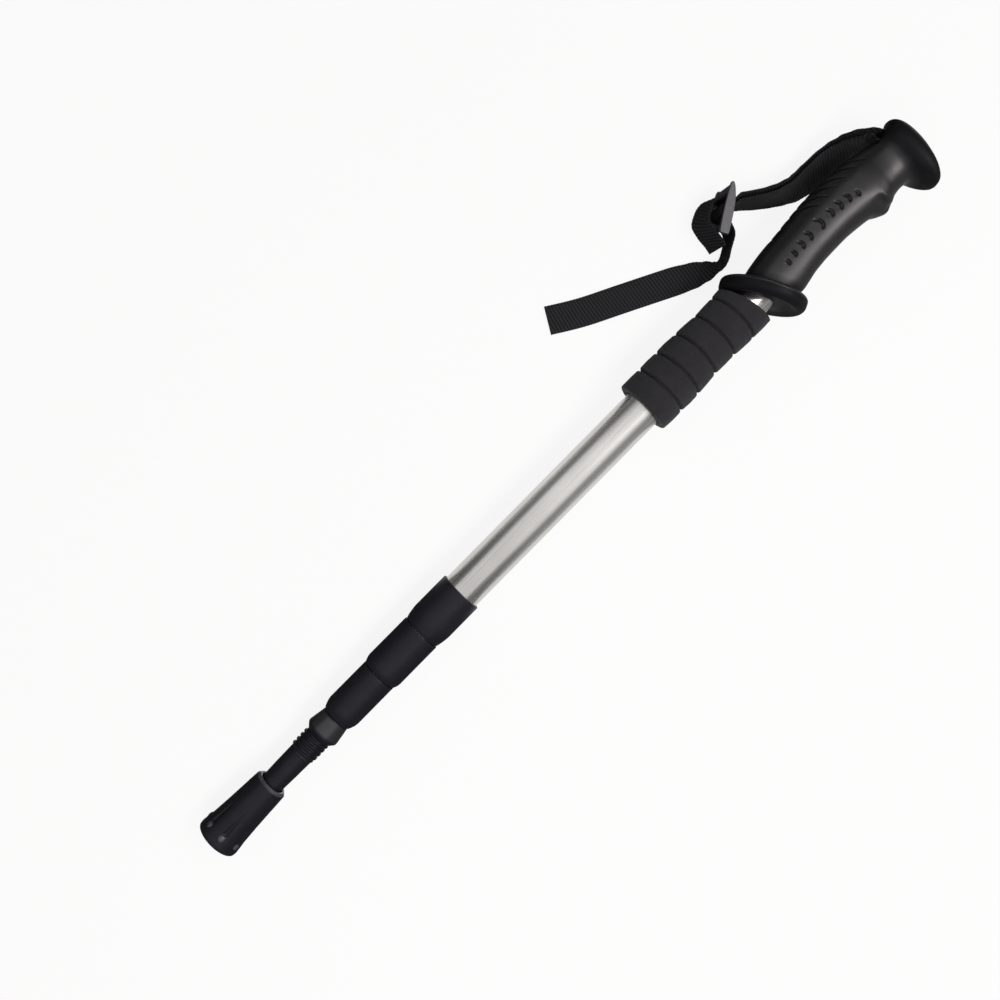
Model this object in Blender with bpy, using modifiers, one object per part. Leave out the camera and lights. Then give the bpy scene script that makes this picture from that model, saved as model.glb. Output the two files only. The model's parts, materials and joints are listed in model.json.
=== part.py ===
"""Telescopic walking stick with twist locks, collapsed and lying on its side.

The shaft frame has x along the shaft from the sole of the rubber foot to the head of the
grip, y towards the wrist strap and z up. It is tipped a little, because the stick lies on
the rim of its foot and the rim of its hand flange. Sizes below are in millimetres.
"""
import math

import bmesh
import bpy
from mathutils import Matrix, Vector

MM = 0.001
ROUND_STEPS = 32
INNER_STEPS = 24
SMALL_STEPS = 16
FIT_GAP = 0.3
PRESS_GAP = 0.2

# Shaft: outer radius, wall and ends of the four tubes, widest first
TUBE_RADIUS = {"upper": 10.0, "second": 9.0, "third": 8.0, "lower": 7.0}
TUBE_WALL = 0.7
TUBE_LOW_END = {"upper": 146.6, "second": 117.7, "third": 88.1, "lower": 85.5}
TUBE_TOP_END = {"upper": 462.0, "second": 424.0, "third": 376.0, "lower": 328.0}

# Sheath at the lower end of each tube: outer radius at its lip and along it, and its length
SHEATH_RADIUS = {"upper": (10.2, 11.3), "second": (9.7, 10.5), "third": (8.2, 9.5)}
SHEATH_ENDS = {"upper": (144.0, 171.6), "second": (115.1, 143.7), "third": (85.5, 114.8)}
SHEATH_SHOULDER = {"upper": 8.0, "second": 3.4, "third": 5.0}
LIP_LENGTH = 2.2

# Twist lock above the top end of each inner tube
PLUG_DEPTH = 14.0
PLUG_RIM = 2.0
STUD_RADIUS = {"second": 3.0, "third": 3.0, "lower": 2.5}
STUD_BELOW = 11.0
STUD_ABOVE = 34.0
EXPANDER_FROM, EXPANDER_TO = 4.0, 31.0
EXPANDER_BASE = 6.0
EXPANDER_TIP_WALL = 1.4
EXPANDER_SLOTS = 4
SLOT_WIDTH = 1.4
CONE_FROM, CONE_TO = 6.5, 18.0
STOP_LENGTH = 2.4

# Foot end
SOLE_X = 2.2
FOOT_TOP = 40.8
FOOT_RADIUS = 11.4
FOOT_BORE_RADIUS = 6.5
FLUTES = 7
FLUTE_TURN = math.radians(18.9)
FLUTE_FROM, FLUTE_LENGTH = 7.6, 22.0
FLUTE_LINE_RADIUS, FLUTE_FALL = 10.6, 0.068
FLUTE_WIDE, FLUTE_NARROW = 1.5, 0.25
FERRULE_LOW = 13.6
COLLAR_TOP = 85.2
COLLAR_RADIUS = 8.85
SPIGOT_LENGTH = 21.0
THREAD_FROM, THREAD_TO = 61.2, 72.4
THREAD_PITCH = 2.65
THREAD_CORE, THREAD_CREST = 6.45, 7.2
TIP_RADIUS = 2.6
TIP_SEAT_DEPTH = 9.0

# Foam sleeve
FOAM_EDGES = [297.3, 309.6, 321.8, 334.6, 347.6, 360.2, 372.8]
FOAM_WAIST = [(297.0, 14.6), (320.0, 14.65), (330.0, 14.2), (343.0, 13.7), (352.0, 13.8),
              (361.0, 14.3), (373.0, 14.4)]
FOAM_GROOVE, FOAM_GROOVE_DEPTH = 0.9, 1.3
FOAM_EDGE = 1.0
FOAM_TRIM_X, FOAM_TRIM_LEAN = 366.9, math.radians(19.0)

# Hand flange: a disc leaning back towards the tip
FLANGE_CENTRE = (377.2, -3.3)
FLANGE_LEAN = math.radians(27.0)
FLANGE_RADIUS = 21.7
FLANGE_THICK = 7.2
FLANGE_EDGE, FLANGE_TIP_EDGE = 1.4, 3.6
FLANGE_DISH = 1.2
FLANGE_STEPS = 40

# Grip sections: x on the shaft axis, lean in degrees, reach to the back and to the front, half depth
GRIP_SECTIONS = [
    (375.7, 27, 11.5, 15.5, 12.9), (381.5, 24, 11.0, 16.5, 12.9), (387.5, 18, 11.8, 16.2, 12.9),
    (395.0, 11, 12.7, 14.8, 13.1), (403.0, 5, 13.2, 13.3, 13.4), (413.0, 0, 14.3, 12.5, 13.8),
    (424.0, 0, 15.2, 12.3, 14.0), (435.0, 0, 15.4, 13.2, 14.0), (441.0, 0, 15.2, 14.1, 13.9),
    (445.0, 0, 15.0, 16.4, 13.7), (448.6, 0, 14.8, 17.8, 13.5), (452.4, 0, 14.3, 16.5, 13.2),
    (456.5, 0, 13.5, 14.6, 12.8), (461.0, 0, 12.5, 14.0, 12.6), (464.0, 0, 11.8, 14.1, 12.7),
    (466.3, 0, 11.5, 14.9, 13.0), (468.2, 0, 11.6, 17.2, 13.6), (470.0, 0, 11.9, 21.0, 14.6),
    (471.8, 0, 12.2, 23.8, 15.5), (474.0, 0, 12.6, 25.6, 16.0), (476.4, 0, 13.0, 25.2, 15.9),
    (478.6, 0, 13.3, 22.6, 14.8), (480.4, 0, 13.2, 18.8, 12.6), (482.5, 0, 12.0, 13.6, 9.4),
    (484.0, 0, 9.4, 9.0, 6.0), (484.6, 0, 5.5, 5.0, 3.6)]
GRIP_STEPS = 32
GRIP_RING_GAP = 3.4
GRIP_SQUARENESS = 2.25
GRIP_BORE_FROM, GRIP_BORE_END = 340.0, 462.5

# Grooves in the back of the grip: x of each point at the middle of the back
CHEVRON_X = [400.6, 406.6, 412.7, 418.6, 425.0, 431.4, 438.6, 444.6]
CHEVRON_SWEEP = 10.5
CHEVRON_TURN = math.radians(56.0)
CHEVRON_RADIUS = 0.75

# Wrist strap
PIN_X, PIN_Y = 472.8, 7.0
PIN_RADIUS = 2.0
PIN_BELOW, PIN_ABOVE = 14.5, 10.5
POCKET_X = (465.2, 480.2)
POCKET_FLOOR_Y, POCKET_DEPTH = 3.0, 20.0
POCKET_HALF_DEPTH = 8.6
WEB_WIDTH, WEB_THICK = 15.0, 1.4
BUCKLE_CENTRE = (396.7, 40.2, 10.6)
BUCKLE_TURN = math.radians(30.5)
BUCKLE_LEAN = math.radians(9.0)
BUCKLE_INSIDE, RAIL_THICK = 15.8, 2.3
BUCKLE_BARS = [-0.2, -9.2]
BAR_RADIUS = 1.5


def lowest_reach(radius, steps):
    """Distance from the axis to the flats of a turned piece with so many steps."""
    return radius * math.cos(math.pi / steps)


FOOT_LOW = lowest_reach(FOOT_RADIUS, ROUND_STEPS)
FLANGE_LOW = lowest_reach(FLANGE_RADIUS, FLANGE_STEPS)
FOOT_TOUCH_X = 4.0
SHAFT_TILT = math.atan((FLANGE_LOW - FOOT_LOW) / (FLANGE_CENTRE[0] - FOOT_TOUCH_X))


def clear_scene():
    for obj in list(bpy.data.objects):
        bpy.data.objects.remove(obj, do_unlink=True)


def make_collection(name):
    collection = bpy.data.collections.new(name)
    bpy.context.scene.collection.children.link(collection)
    return collection


def principled(name, color, roughness, metallic=0.0):
    mat = bpy.data.materials.new(name)
    mat.use_nodes = True
    shader = mat.node_tree.nodes["Principled BSDF"]
    shader.inputs["Base Color"].default_value = (*color, 1.0)
    shader.inputs["Roughness"].default_value = roughness
    shader.inputs["Metallic"].default_value = metallic
    return mat


FINISHES = {
    "tube": ((0.62, 0.60, 0.58), 0.3, 1.0),
    "dark_plastic": ((0.022, 0.021, 0.03), 0.5, 0.0),
    "grip_rubber": ((0.035, 0.034, 0.036), 0.45, 0.0),
    "foam": ((0.045, 0.042, 0.047), 0.9, 0.0),
    "webbing": ((0.015, 0.015, 0.017), 0.8, 0.0),
    "buckle": ((0.07, 0.07, 0.085), 0.4, 0.0),
    "steel": ((0.5, 0.5, 0.5), 0.35, 1.0),
    "nylon": ((0.55, 0.55, 0.52), 0.5, 0.0),
    "carbide": ((0.3, 0.3, 0.31), 0.4, 1.0),
}


def add_piece(name, mesh, finish, collection, parent):
    """A named sub-part with its own material, placed in its parent's frame."""
    obj = bpy.data.objects.new(name, mesh)
    collection.objects.link(obj)
    obj.parent = parent
    obj.data.materials.append(principled(name + "_finish", *FINISHES[finish]))
    return obj


def add_cutter(name, mesh, collection, parent):
    obj = bpy.data.objects.new(name, mesh)
    collection.objects.link(obj)
    obj.parent = parent
    obj.hide_render = True
    obj.display_type = "WIRE"
    return obj


def add_empty(name, parent, location=(0, 0, 0), rotation=(0, 0, 0)):
    """An empty that stands for a frame or for a joint's axis."""
    empty = bpy.data.objects.new(name, None)
    bpy.context.scene.collection.objects.link(empty)
    empty.parent = parent
    empty.location = Vector(location) * MM
    empty.rotation_euler = rotation
    empty.empty_display_size = 0.02
    return empty


def boolean(obj, cutter, operation="DIFFERENCE"):
    mod = obj.modifiers.new(operation.title(), "BOOLEAN")
    mod.operation = operation
    mod.object = cutter
    mod.solver = "EXACT"


def outline_mesh(name, outline, closed):
    """Edges of a profile given as (x along the shaft, radius)."""
    mesh = bpy.data.meshes.new(name)
    edges = [(i, i + 1) for i in range(len(outline) - 1)]
    if closed:
        edges.append((len(outline) - 1, 0))
    mesh.from_pydata([(r * MM, 0, x * MM) for x, r in outline], edges, [])
    return mesh


def spin(obj, steps=ROUND_STEPS, lean=0.0):
    """Turns the profile about the shaft axis, with a flat of the round at the bottom."""
    mod = obj.modifiers.new("Turn", "SCREW")
    mod.axis = "Z"
    mod.angle = math.tau
    mod.steps = mod.render_steps = steps
    mod.use_merge_vertices = True
    mod.merge_threshold = 0.00001
    mod.use_smooth_shade = True
    turn = Matrix.Rotation(lean, 3, "Z") @ Matrix.Rotation(math.pi / 2, 3, "Y")
    obj.rotation_euler = (turn @ Matrix.Rotation(math.pi / steps, 3, "Z")).to_euler()


def turned(name, outer, finish, collection, parent, bore=None, steps=ROUND_STEPS):
    """A turned piece: outer and bore run from the handle end to the foot end."""
    outline = list(outer) + (list(reversed(bore)) if bore else [])
    obj = add_piece(name, outline_mesh(name, outline, bool(bore)), finish, collection, parent)
    spin(obj, steps)
    return obj


def arc_points(centre, radius, start, end, count):
    """Points of an arc in the profile plane, angles in degrees from the shaft's x."""
    points = []
    for i in range(count):
        a = math.radians(start + (end - start) * i / (count - 1))
        points.append((centre[0] + radius * math.cos(a), centre[1] + radius * math.sin(a)))
    return points


def smooth_value(xs, ys, x):
    """Monotone cubic curve through the points, so that it never bulges past them."""
    if x <= xs[0]:
        return ys[0]
    if x >= xs[-1]:
        return ys[-1]
    last = len(xs) - 1
    k = max(i for i in range(last) if xs[i] <= x)

    def slope(i):
        return (ys[i + 1] - ys[i]) / (xs[i + 1] - xs[i])

    def tangent(i):
        if i == 0:
            return slope(0)
        if i == last:
            return slope(last - 1)
        before, after = slope(i - 1), slope(i)
        return 0.0 if before * after <= 0 else 2 * before * after / (before + after)

    h = xs[k + 1] - xs[k]
    t = (x - xs[k]) / h
    return ((2 * t**3 - 3 * t**2 + 1) * ys[k] + (t**3 - 2 * t**2 + t) * h * tangent(k)
            + (3 * t**2 - 2 * t**3) * ys[k + 1] + (t**3 - t**2) * h * tangent(k + 1))


# Shaft pieces

def make_tube(key, collection, parent):
    radius = TUBE_RADIUS[key]
    low, top = TUBE_LOW_END[key], TUBE_TOP_END[key]
    return turned(key + "_tube", [(top, radius), (low, radius)], "tube", collection, parent,
                  bore=[(top, radius - TUBE_WALL), (low, radius - TUBE_WALL)])


def make_sheath(key, collection, parent):
    """Plastic sleeve over the tube's lower end, with a lip that guides the next tube."""
    lip_radius, radius = SHEATH_RADIUS[key]
    low, top = SHEATH_ENDS[key]
    shoulder = SHEATH_SHOULDER[key]
    seat = TUBE_RADIUS[key] + PRESS_GAP
    guide = TUBE_RADIUS[key] - TUBE_WALL
    outer = [(top, radius - 0.15), (top - 0.4, radius)]
    for i in range(5):
        t = 1 - i / 4
        rise = math.sin(t * math.pi / 2)
        outer.append((low + 0.4 + shoulder * t, lip_radius + (radius - lip_radius) * rise))
    outer.append((low, lip_radius - 0.4))
    bore = [(top, seat), (low + LIP_LENGTH, seat), (low + LIP_LENGTH, guide), (low, guide)]
    return turned(key + "_sheath", outer, "dark_plastic", collection, parent, bore=bore)


def make_lock(key, outer_key, collection, section, lock, nut):
    """Twist lock at the top of an inner tube: plug, stud, cone nut, expander and stop."""
    top = TUBE_TOP_END[key]
    inside = TUBE_RADIUS[key] - TUBE_WALL - PRESS_GAP
    stud = STUD_RADIUS[key]
    hole = stud + PRESS_GAP
    turned(key + "_end_plug",
           [(top + PRESS_GAP + PLUG_RIM, TUBE_RADIUS[key] - 0.6),
            (top + PRESS_GAP + PLUG_RIM - 0.5, TUBE_RADIUS[key] - 0.1),
            (top + PRESS_GAP, TUBE_RADIUS[key] - 0.1), (top + PRESS_GAP, inside),
            (top - PLUG_DEPTH, inside)],
           "nylon", collection, section,
           bore=[(top + PRESS_GAP + PLUG_RIM, hole), (top - PLUG_DEPTH, hole)],
           steps=INNER_STEPS)
    turned(key + "_stud",
           [(top + STUD_ABOVE, 0), (top + STUD_ABOVE, stud - 0.5), (top + STUD_ABOVE - 0.5, stud),
            (top - STUD_BELOW, stud), (top - STUD_BELOW, 0)],
           "steel", collection, section, steps=SMALL_STEPS)
    turned(key + "_stop_ring",
           [(top + EXPANDER_TO + FIT_GAP + STOP_LENGTH, stud + 1.8),
            (top + EXPANDER_TO + FIT_GAP, stud + 2.2)],
           "steel", collection, section,
           bore=[(top + EXPANDER_TO + FIT_GAP + STOP_LENGTH, hole),
                 (top + EXPANDER_TO + FIT_GAP, hole)], steps=SMALL_STEPS)
    make_expander(key, outer_key, collection, lock)
    make_cone_nut(key, outer_key, collection, nut)


def expander_sizes(key, outer_key):
    outside = TUBE_RADIUS[outer_key] - TUBE_WALL - FIT_GAP
    mouth = outside - EXPANDER_TIP_WALL
    throat = STUD_RADIUS[key] + 1.1
    return outside, mouth, throat


def make_expander(key, outer_key, collection, parent):
    """Split sleeve with a conical bore, which the cone nut spreads against the outer tube."""
    top = TUBE_TOP_END[key]
    outside, mouth, throat = expander_sizes(key, outer_key)
    hole = STUD_RADIUS[key] + FIT_GAP
    base = top + EXPANDER_TO - EXPANDER_BASE
    outer = [(top + EXPANDER_TO, outside - 0.8), (top + EXPANDER_TO - 0.8, outside),
             (top + EXPANDER_FROM + 0.5, outside), (top + EXPANDER_FROM, outside - 0.3)]
    bore = [(top + EXPANDER_TO, hole), (base, hole), (base, throat),
            (top + EXPANDER_FROM, mouth)]
    expander = turned(key + "_expander", outer, "nylon", collection, parent, bore=bore,
                      steps=INNER_STEPS)
    length = base - (top + EXPANDER_FROM) + 1.0
    for i in range(EXPANDER_SLOTS // 2):
        slot = box_mesh("slot", (length, 2 * outside + 2, SLOT_WIDTH))
        cutter = add_cutter(f"{key}_slot_{i}", slot, CUTTERS, parent)
        cutter.location = Vector((top + EXPANDER_FROM - 1.0 + length / 2, 0, 0)) * MM
        cutter.rotation_euler = (math.tau * i / EXPANDER_SLOTS, 0, 0)
        boolean(expander, cutter)


def make_cone_nut(key, outer_key, collection, parent):
    """Conical nut on the stud; two lugs ride in the expander's slots and stop it turning."""
    top = TUBE_TOP_END[key]
    outside, mouth, throat = expander_sizes(key, outer_key)
    base = EXPANDER_TO - EXPANDER_BASE
    taper = (mouth - throat) / (base - EXPANDER_FROM)
    hole = STUD_RADIUS[key] + PRESS_GAP

    def cone_radius(along):
        return mouth - taper * (along - EXPANDER_FROM) - FIT_GAP * 1.15

    outer = [(top + CONE_TO, cone_radius(CONE_TO)), (top + CONE_FROM, cone_radius(CONE_FROM))]
    nut = turned(key + "_cone_nut", outer, "steel", collection, parent,
                 bore=[(top + CONE_TO, hole), (top + CONE_FROM, hole)], steps=INNER_STEPS)
    lug_from, lug_to = CONE_FROM + 1.5, CONE_FROM + 7.5
    for side in (1, -1):
        inner, outer_edge = hole + 0.6, outside - 0.5
        lug = box_mesh("lug", (lug_to - lug_from, outer_edge - inner, SLOT_WIDTH - 2 * FIT_GAP))
        joiner = add_cutter(f"{key}_lug_{side}", lug, CUTTERS, parent)
        joiner.location = Vector((top + (lug_from + lug_to) / 2,
                                  side * (inner + outer_edge) / 2, 0)) * MM
        boolean(nut, joiner, "UNION")


def box_mesh(name, size):
    """A box in millimetres about its own centre."""
    bm = bmesh.new()
    bmesh.ops.create_cube(bm, size=1.0)
    bmesh.ops.scale(bm, vec=Vector(size) * MM, verts=bm.verts)
    mesh = bpy.data.meshes.new(name)
    bm.to_mesh(mesh)
    bm.free()
    return mesh


def cone_mesh(name, radius_low, radius_top, length, steps):
    """A cone or cylinder in millimetres along its own z."""
    bm = bmesh.new()
    bmesh.ops.create_cone(bm, cap_ends=True, segments=steps, radius1=radius_low * MM,
                          radius2=radius_top * MM, depth=length * MM)
    mesh = bpy.data.meshes.new(name)
    bm.to_mesh(mesh)
    bm.free()
    return mesh


# Foot end

def make_tip_ferrule(collection, parent):
    """Moulded tip: ferrule, basket thread and collar, with a spigot inside the lower tube."""
    spigot = TUBE_RADIUS["lower"] - TUBE_WALL - PRESS_GAP
    end = COLLAR_TOP + SPIGOT_LENGTH
    outer = [(end, 0), (end, spigot - 0.8), (end - 1.0, spigot), (COLLAR_TOP, spigot),
             (COLLAR_TOP, 7.25), (COLLAR_TOP - 0.7, 7.55), (76.6, COLLAR_RADIUS),
             (75.3, COLLAR_RADIUS), (THREAD_TO + 0.8, THREAD_CREST)]
    x = THREAD_TO
    while x - THREAD_PITCH > THREAD_FROM - 0.5:
        outer += [(x, THREAD_CORE), (x - 0.9, THREAD_CORE), (x - 1.5, THREAD_CREST),
                  (x - 1.9, THREAD_CREST)]
        x -= THREAD_PITCH
    outer += [(x, THREAD_CORE), (THREAD_FROM - 1.2, 6.35), (50.0, 6.2), (44.0, 6.0),
              (30.0, 5.8), (FERRULE_LOW, 5.3)]
    seat = TIP_RADIUS + PRESS_GAP
    outer += [(FERRULE_LOW, seat), (FERRULE_LOW + TIP_SEAT_DEPTH, seat),
              (FERRULE_LOW + TIP_SEAT_DEPTH, 0)]
    return turned("tip_ferrule", outer, "dark_plastic", collection, parent, steps=INNER_STEPS)


def make_carbide_tip(collection, parent):
    end = FERRULE_LOW + TIP_SEAT_DEPTH - FIT_GAP
    outer = [(end, 0), (end, TIP_RADIUS), (10.2, TIP_RADIUS),
             (8.6, 1.9), (7.9, 2.1), (7.6, 1.6), (8.0, 0)]
    return turned("carbide_tip", outer, "carbide", collection, parent, steps=SMALL_STEPS)


def make_rubber_foot(collection, parent):
    """Push-on foot, flared to the sole, with shallow flutes that run up from the sole."""
    outer = [(FOOT_TOP, 7.6), (FOOT_TOP - 0.5, 8.3), (FOOT_TOP - 1.6, 8.8), (36.0, 9.0),
             (30.0, 9.3), (24.0, 9.6), (18.0, 10.0), (12.0, 10.5), (7.0, 11.1),
             (FOOT_TOUCH_X, FOOT_RADIUS), (SOLE_X + 0.6, FOOT_RADIUS - 0.1), (SOLE_X, 10.7),
             (SOLE_X, 0)]
    bore = [(FOOT_TOP, FOOT_BORE_RADIUS), (12.0, FOOT_BORE_RADIUS), (12.0, 3.6), (6.6, 3.6),
            (6.6, 0)]
    outline = list(reversed(bore)) + outer
    foot = add_piece("rubber_foot", outline_mesh("rubber_foot", outline, False), "dark_plastic",
                     collection, parent)
    spin(foot)
    for i in range(FLUTES):
        turn = math.tau * (i + 0.5) / FLUTES + FLUTE_TURN
        flute = cone_mesh("flute", FLUTE_WIDE, FLUTE_NARROW, FLUTE_LENGTH, 8)
        cutter = add_cutter(f"flute_{i}", flute, CUTTERS, parent)
        spread = Vector((0, math.cos(turn), math.sin(turn)))
        middle = Vector((FLUTE_FROM + FLUTE_LENGTH / 2, 0, 0)) + spread * FLUTE_LINE_RADIUS
        cutter.location = middle * MM
        along = Vector((1.0, 0, 0)) - spread * FLUTE_FALL
        cutter.rotation_euler = along.to_track_quat("Z", "Y").to_euler()
        boolean(foot, cutter)
    return foot


def make_foot_washer(collection, parent):
    radius = FOOT_BORE_RADIUS - FIT_GAP
    return turned("foot_washer", [(13.3, radius), (12.3, radius)], "steel", collection, parent,
                  bore=[(13.3, 3.0), (12.3, 3.0)])


# Handle

def foam_radius(x):
    """Slightly waisted, as the photographed sleeve is."""
    return smooth_value(*zip(*FOAM_WAIST), x)


def make_foam_sleeve(collection, parent):
    """Foam sleeve in six rounded segments, its end trimmed where it meets the flange."""
    outer = []
    start, end = FOAM_EDGES[0], FOAM_EDGES[-1]
    for low, high in reversed(list(zip(FOAM_EDGES, FOAM_EDGES[1:]))):
        edge = high if high == end else high - FOAM_GROOVE / 2
        foot = low if low == start else low + FOAM_GROOVE / 2
        outer += [(edge, foam_radius(edge) - FOAM_GROOVE_DEPTH),
                  (edge - FOAM_EDGE, foam_radius(edge)), (foot + FOAM_EDGE, foam_radius(foot)),
                  (foot, foam_radius(foot) - FOAM_GROOVE_DEPTH)]
    seat = TUBE_RADIUS["upper"] + PRESS_GAP
    foam = turned("foam_sleeve", outer, "foam", collection, parent,
                  bore=[(end, seat), (start, seat)])
    depth = 2 * (end - FOAM_TRIM_X) + FOAM_GROOVE_DEPTH + 2 * foam_radius(end)
    trim = box_mesh("trim", (depth, 2 * depth, 2 * depth))
    cutter = add_cutter("foam_trim", trim, CUTTERS, parent)
    normal = Vector((math.cos(FOAM_TRIM_LEAN), math.sin(FOAM_TRIM_LEAN), 0))
    cutter.location = (Vector((FOAM_TRIM_X, 0, 0)) + normal * depth / 2) * MM
    cutter.rotation_euler = (0, 0, FOAM_TRIM_LEAN)
    boolean(foam, cutter)
    return foam


def grip_measures(x):
    """Lean, reach to the back, reach to the front and half depth of the grip at x."""
    xs = [s[0] for s in GRIP_SECTIONS]
    return [smooth_value(xs, [s[k] for s in GRIP_SECTIONS], x) for k in range(1, 5)]


def grip_point(x, turn):
    """Point of the grip's surface; turn 0 is the middle of the back, 90 degrees its top side."""
    lean, back, front, depth = grip_measures(x)
    c, s = math.cos(turn), math.sin(turn)
    power = 2 / GRIP_SQUARENESS
    reach = (back if c > 0 else front) * abs(c) ** power * (1 if c > 0 else -1)
    rise = depth * abs(s) ** power * (1 if s > 0 else -1)
    a = math.radians(lean)
    return Vector((x - math.sin(a) * reach, math.cos(a) * reach, rise))


def grip_mesh():
    """Loft through the grip's sections, from inside the flange to the crown of the head."""
    xs = []
    for near, far in zip(GRIP_SECTIONS, GRIP_SECTIONS[1:]):
        gap = far[0] - near[0]
        split = max(1, round(gap / GRIP_RING_GAP))
        xs += [near[0] + gap * i / split for i in range(split)]
    xs.append(GRIP_SECTIONS[-1][0])
    bm = bmesh.new()
    rings = []
    for x in xs:
        turns = [math.tau * (i + 0.5) / GRIP_STEPS for i in range(GRIP_STEPS)]
        rings.append([bm.verts.new(grip_point(x, t) * MM) for t in turns])
    for near, far in zip(rings, rings[1:]):
        for i in range(GRIP_STEPS):
            j = (i + 1) % GRIP_STEPS
            bm.faces.new((near[i], near[j], far[j], far[i]))
    bm.faces.new(list(reversed(rings[0])))
    bm.faces.new(rings[-1])
    bmesh.ops.recalc_face_normals(bm, faces=bm.faces)
    mesh = bpy.data.meshes.new("grip")
    bm.to_mesh(mesh)
    bm.free()
    mesh.shade_smooth()
    return mesh


def make_flange(parent):
    """Disc with a round rim and a shallow dish on the side towards the tip."""
    half = FLANGE_THICK / 2
    rim = FLANGE_RADIUS - FLANGE_TIP_EDGE
    floor = -half + FLANGE_DISH
    outline = [(half - 0.4, 0), (half - 0.4, rim - 5.0)]
    outline += arc_points((half - FLANGE_EDGE, FLANGE_RADIUS - FLANGE_EDGE), FLANGE_EDGE, 0, 90, 3)
    outline += arc_points((-half + FLANGE_TIP_EDGE, rim), FLANGE_TIP_EDGE, 90, 180, 5)
    outline += [(floor, rim - 3.5), (floor, 0)]
    mesh = outline_mesh("flange", outline, False)
    flange = add_cutter("hand_flange", mesh, CUTTERS, parent)
    spin(flange, FLANGE_STEPS, FLANGE_LEAN)
    flange.location = Vector((*FLANGE_CENTRE, 0)) * MM
    return flange


def curve_mesh(curve):
    """The closed mesh of a curve with thickness."""
    holder = bpy.data.objects.new(curve.name, curve)
    bpy.context.scene.collection.objects.link(holder)
    bpy.context.view_layer.update()
    mesh = bpy.data.meshes.new_from_object(holder.evaluated_get(
        bpy.context.evaluated_depsgraph_get()))
    bpy.data.objects.remove(holder, do_unlink=True)
    bm = bmesh.new()
    bm.from_mesh(mesh)
    bmesh.ops.remove_doubles(bm, verts=bm.verts, dist=0.00001)
    bmesh.ops.recalc_face_normals(bm, faces=bm.faces)
    bm.to_mesh(mesh)
    bm.free()
    return mesh


def tube_along(name, points, radius):
    """A thin round bar through the points, as a mesh."""
    curve = bpy.data.curves.new(name, "CURVE")
    curve.dimensions = "3D"
    curve.bevel_depth = radius * MM
    curve.bevel_resolution = 1
    curve.use_fill_caps = True
    spline = curve.splines.new("POLY")
    spline.points.add(len(points) - 1)
    for target, point in zip(spline.points, points):
        target.co = (*(point * MM), 1.0)
    return curve_mesh(curve)


def cut_chevrons(grip, parent):
    """V grooves across the back of the grip, pointing towards the tip."""
    count = 9
    for k, apex in enumerate(CHEVRON_X):
        reach = 1.0 if k >= 2 else 0.55
        points = []
        for i in range(count):
            t = -1 + 2 * i / (count - 1)
            x = apex + CHEVRON_SWEEP * reach * abs(t)
            points.append(grip_point(x, t * reach * CHEVRON_TURN))
        groove = tube_along("groove", points, CHEVRON_RADIUS)
        boolean(grip, add_cutter(f"chevron_{k}", groove, CUTTERS, parent))


def make_grip(collection, parent):
    """One moulding: flange, handle with thumb and finger shapes, hooked head and strap pocket."""
    grip = add_piece("grip", grip_mesh(), "grip_rubber", collection, parent)
    boolean(grip, make_flange(parent), "UNION")
    bore = add_cutter("grip_bore", cone_mesh("bore", TUBE_RADIUS["upper"] + PRESS_GAP,
                                             TUBE_RADIUS["upper"] + PRESS_GAP,
                                             GRIP_BORE_END - GRIP_BORE_FROM, ROUND_STEPS),
                      CUTTERS, parent)
    turn = Matrix.Rotation(math.pi / 2, 3, "Y") @ Matrix.Rotation(math.pi / ROUND_STEPS, 3, "Z")
    bore.rotation_euler = turn.to_euler()
    bore.location = Vector(((GRIP_BORE_END + GRIP_BORE_FROM) / 2, 0, 0)) * MM
    boolean(grip, bore)
    cut_chevrons(grip, parent)
    pocket = box_mesh("pocket", (POCKET_X[1] - POCKET_X[0], POCKET_DEPTH, 2 * POCKET_HALF_DEPTH))
    cutter = add_cutter("strap_pocket", pocket, CUTTERS, parent)
    cutter.location = Vector((sum(POCKET_X) / 2, POCKET_FLOOR_Y + POCKET_DEPTH / 2, 0)) * MM
    boolean(grip, cutter)
    hole_top = PIN_ABOVE + FIT_GAP
    hole_low = -2 * PIN_BELOW
    hole = add_cutter("pin_hole", cone_mesh("pin_hole", PIN_RADIUS + PRESS_GAP,
                                            PIN_RADIUS + PRESS_GAP, hole_top - hole_low, 16),
                      CUTTERS, parent)
    hole.location = Vector((PIN_X, PIN_Y, (hole_top + hole_low) / 2)) * MM
    boolean(grip, hole)
    return grip


def make_strap_pin(collection, parent):
    """Cross pin in the head, pressed in from the underside."""
    mesh = cone_mesh("strap_pin", PIN_RADIUS, PIN_RADIUS, PIN_ABOVE + PIN_BELOW, 16)
    pin = add_piece("strap_pin", mesh, "steel", collection, parent)
    pin.location = Vector((PIN_X, PIN_Y, (PIN_ABOVE - PIN_BELOW) / 2)) * MM
    return pin


# Wrist strap, laid out in the frame of the floor

def buckle_axes():
    """Along the buckle, out of its broad face, and across it between its rails."""
    u = Vector((math.cos(BUCKLE_TURN), math.sin(BUCKLE_TURN), 0))
    out = Vector((-u.y, u.x, 0))
    up = Vector((0, 0, 1))
    v = out * math.cos(BUCKLE_LEAN) + up * math.sin(BUCKLE_LEAN)
    w = up * math.cos(BUCKLE_LEAN) - out * math.sin(BUCKLE_LEAN)
    return u, v, w


def at_buckle(along, out):
    u, v, w = buckle_axes()
    return Vector(BUCKLE_CENTRE) + u * along + v * out


def axis_start_height():
    """Height over the floor of the shaft axis at x = 0."""
    return FOOT_LOW / math.cos(SHAFT_TILT) - FOOT_TOUCH_X * math.tan(SHAFT_TILT)


def over_floor(point):
    """A point of the shaft's frame, in the frame of the floor."""
    start = Vector((0, 0, axis_start_height()))
    return Matrix.Rotation(-SHAFT_TILT, 3, "Y") @ Vector(point) + start


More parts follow.
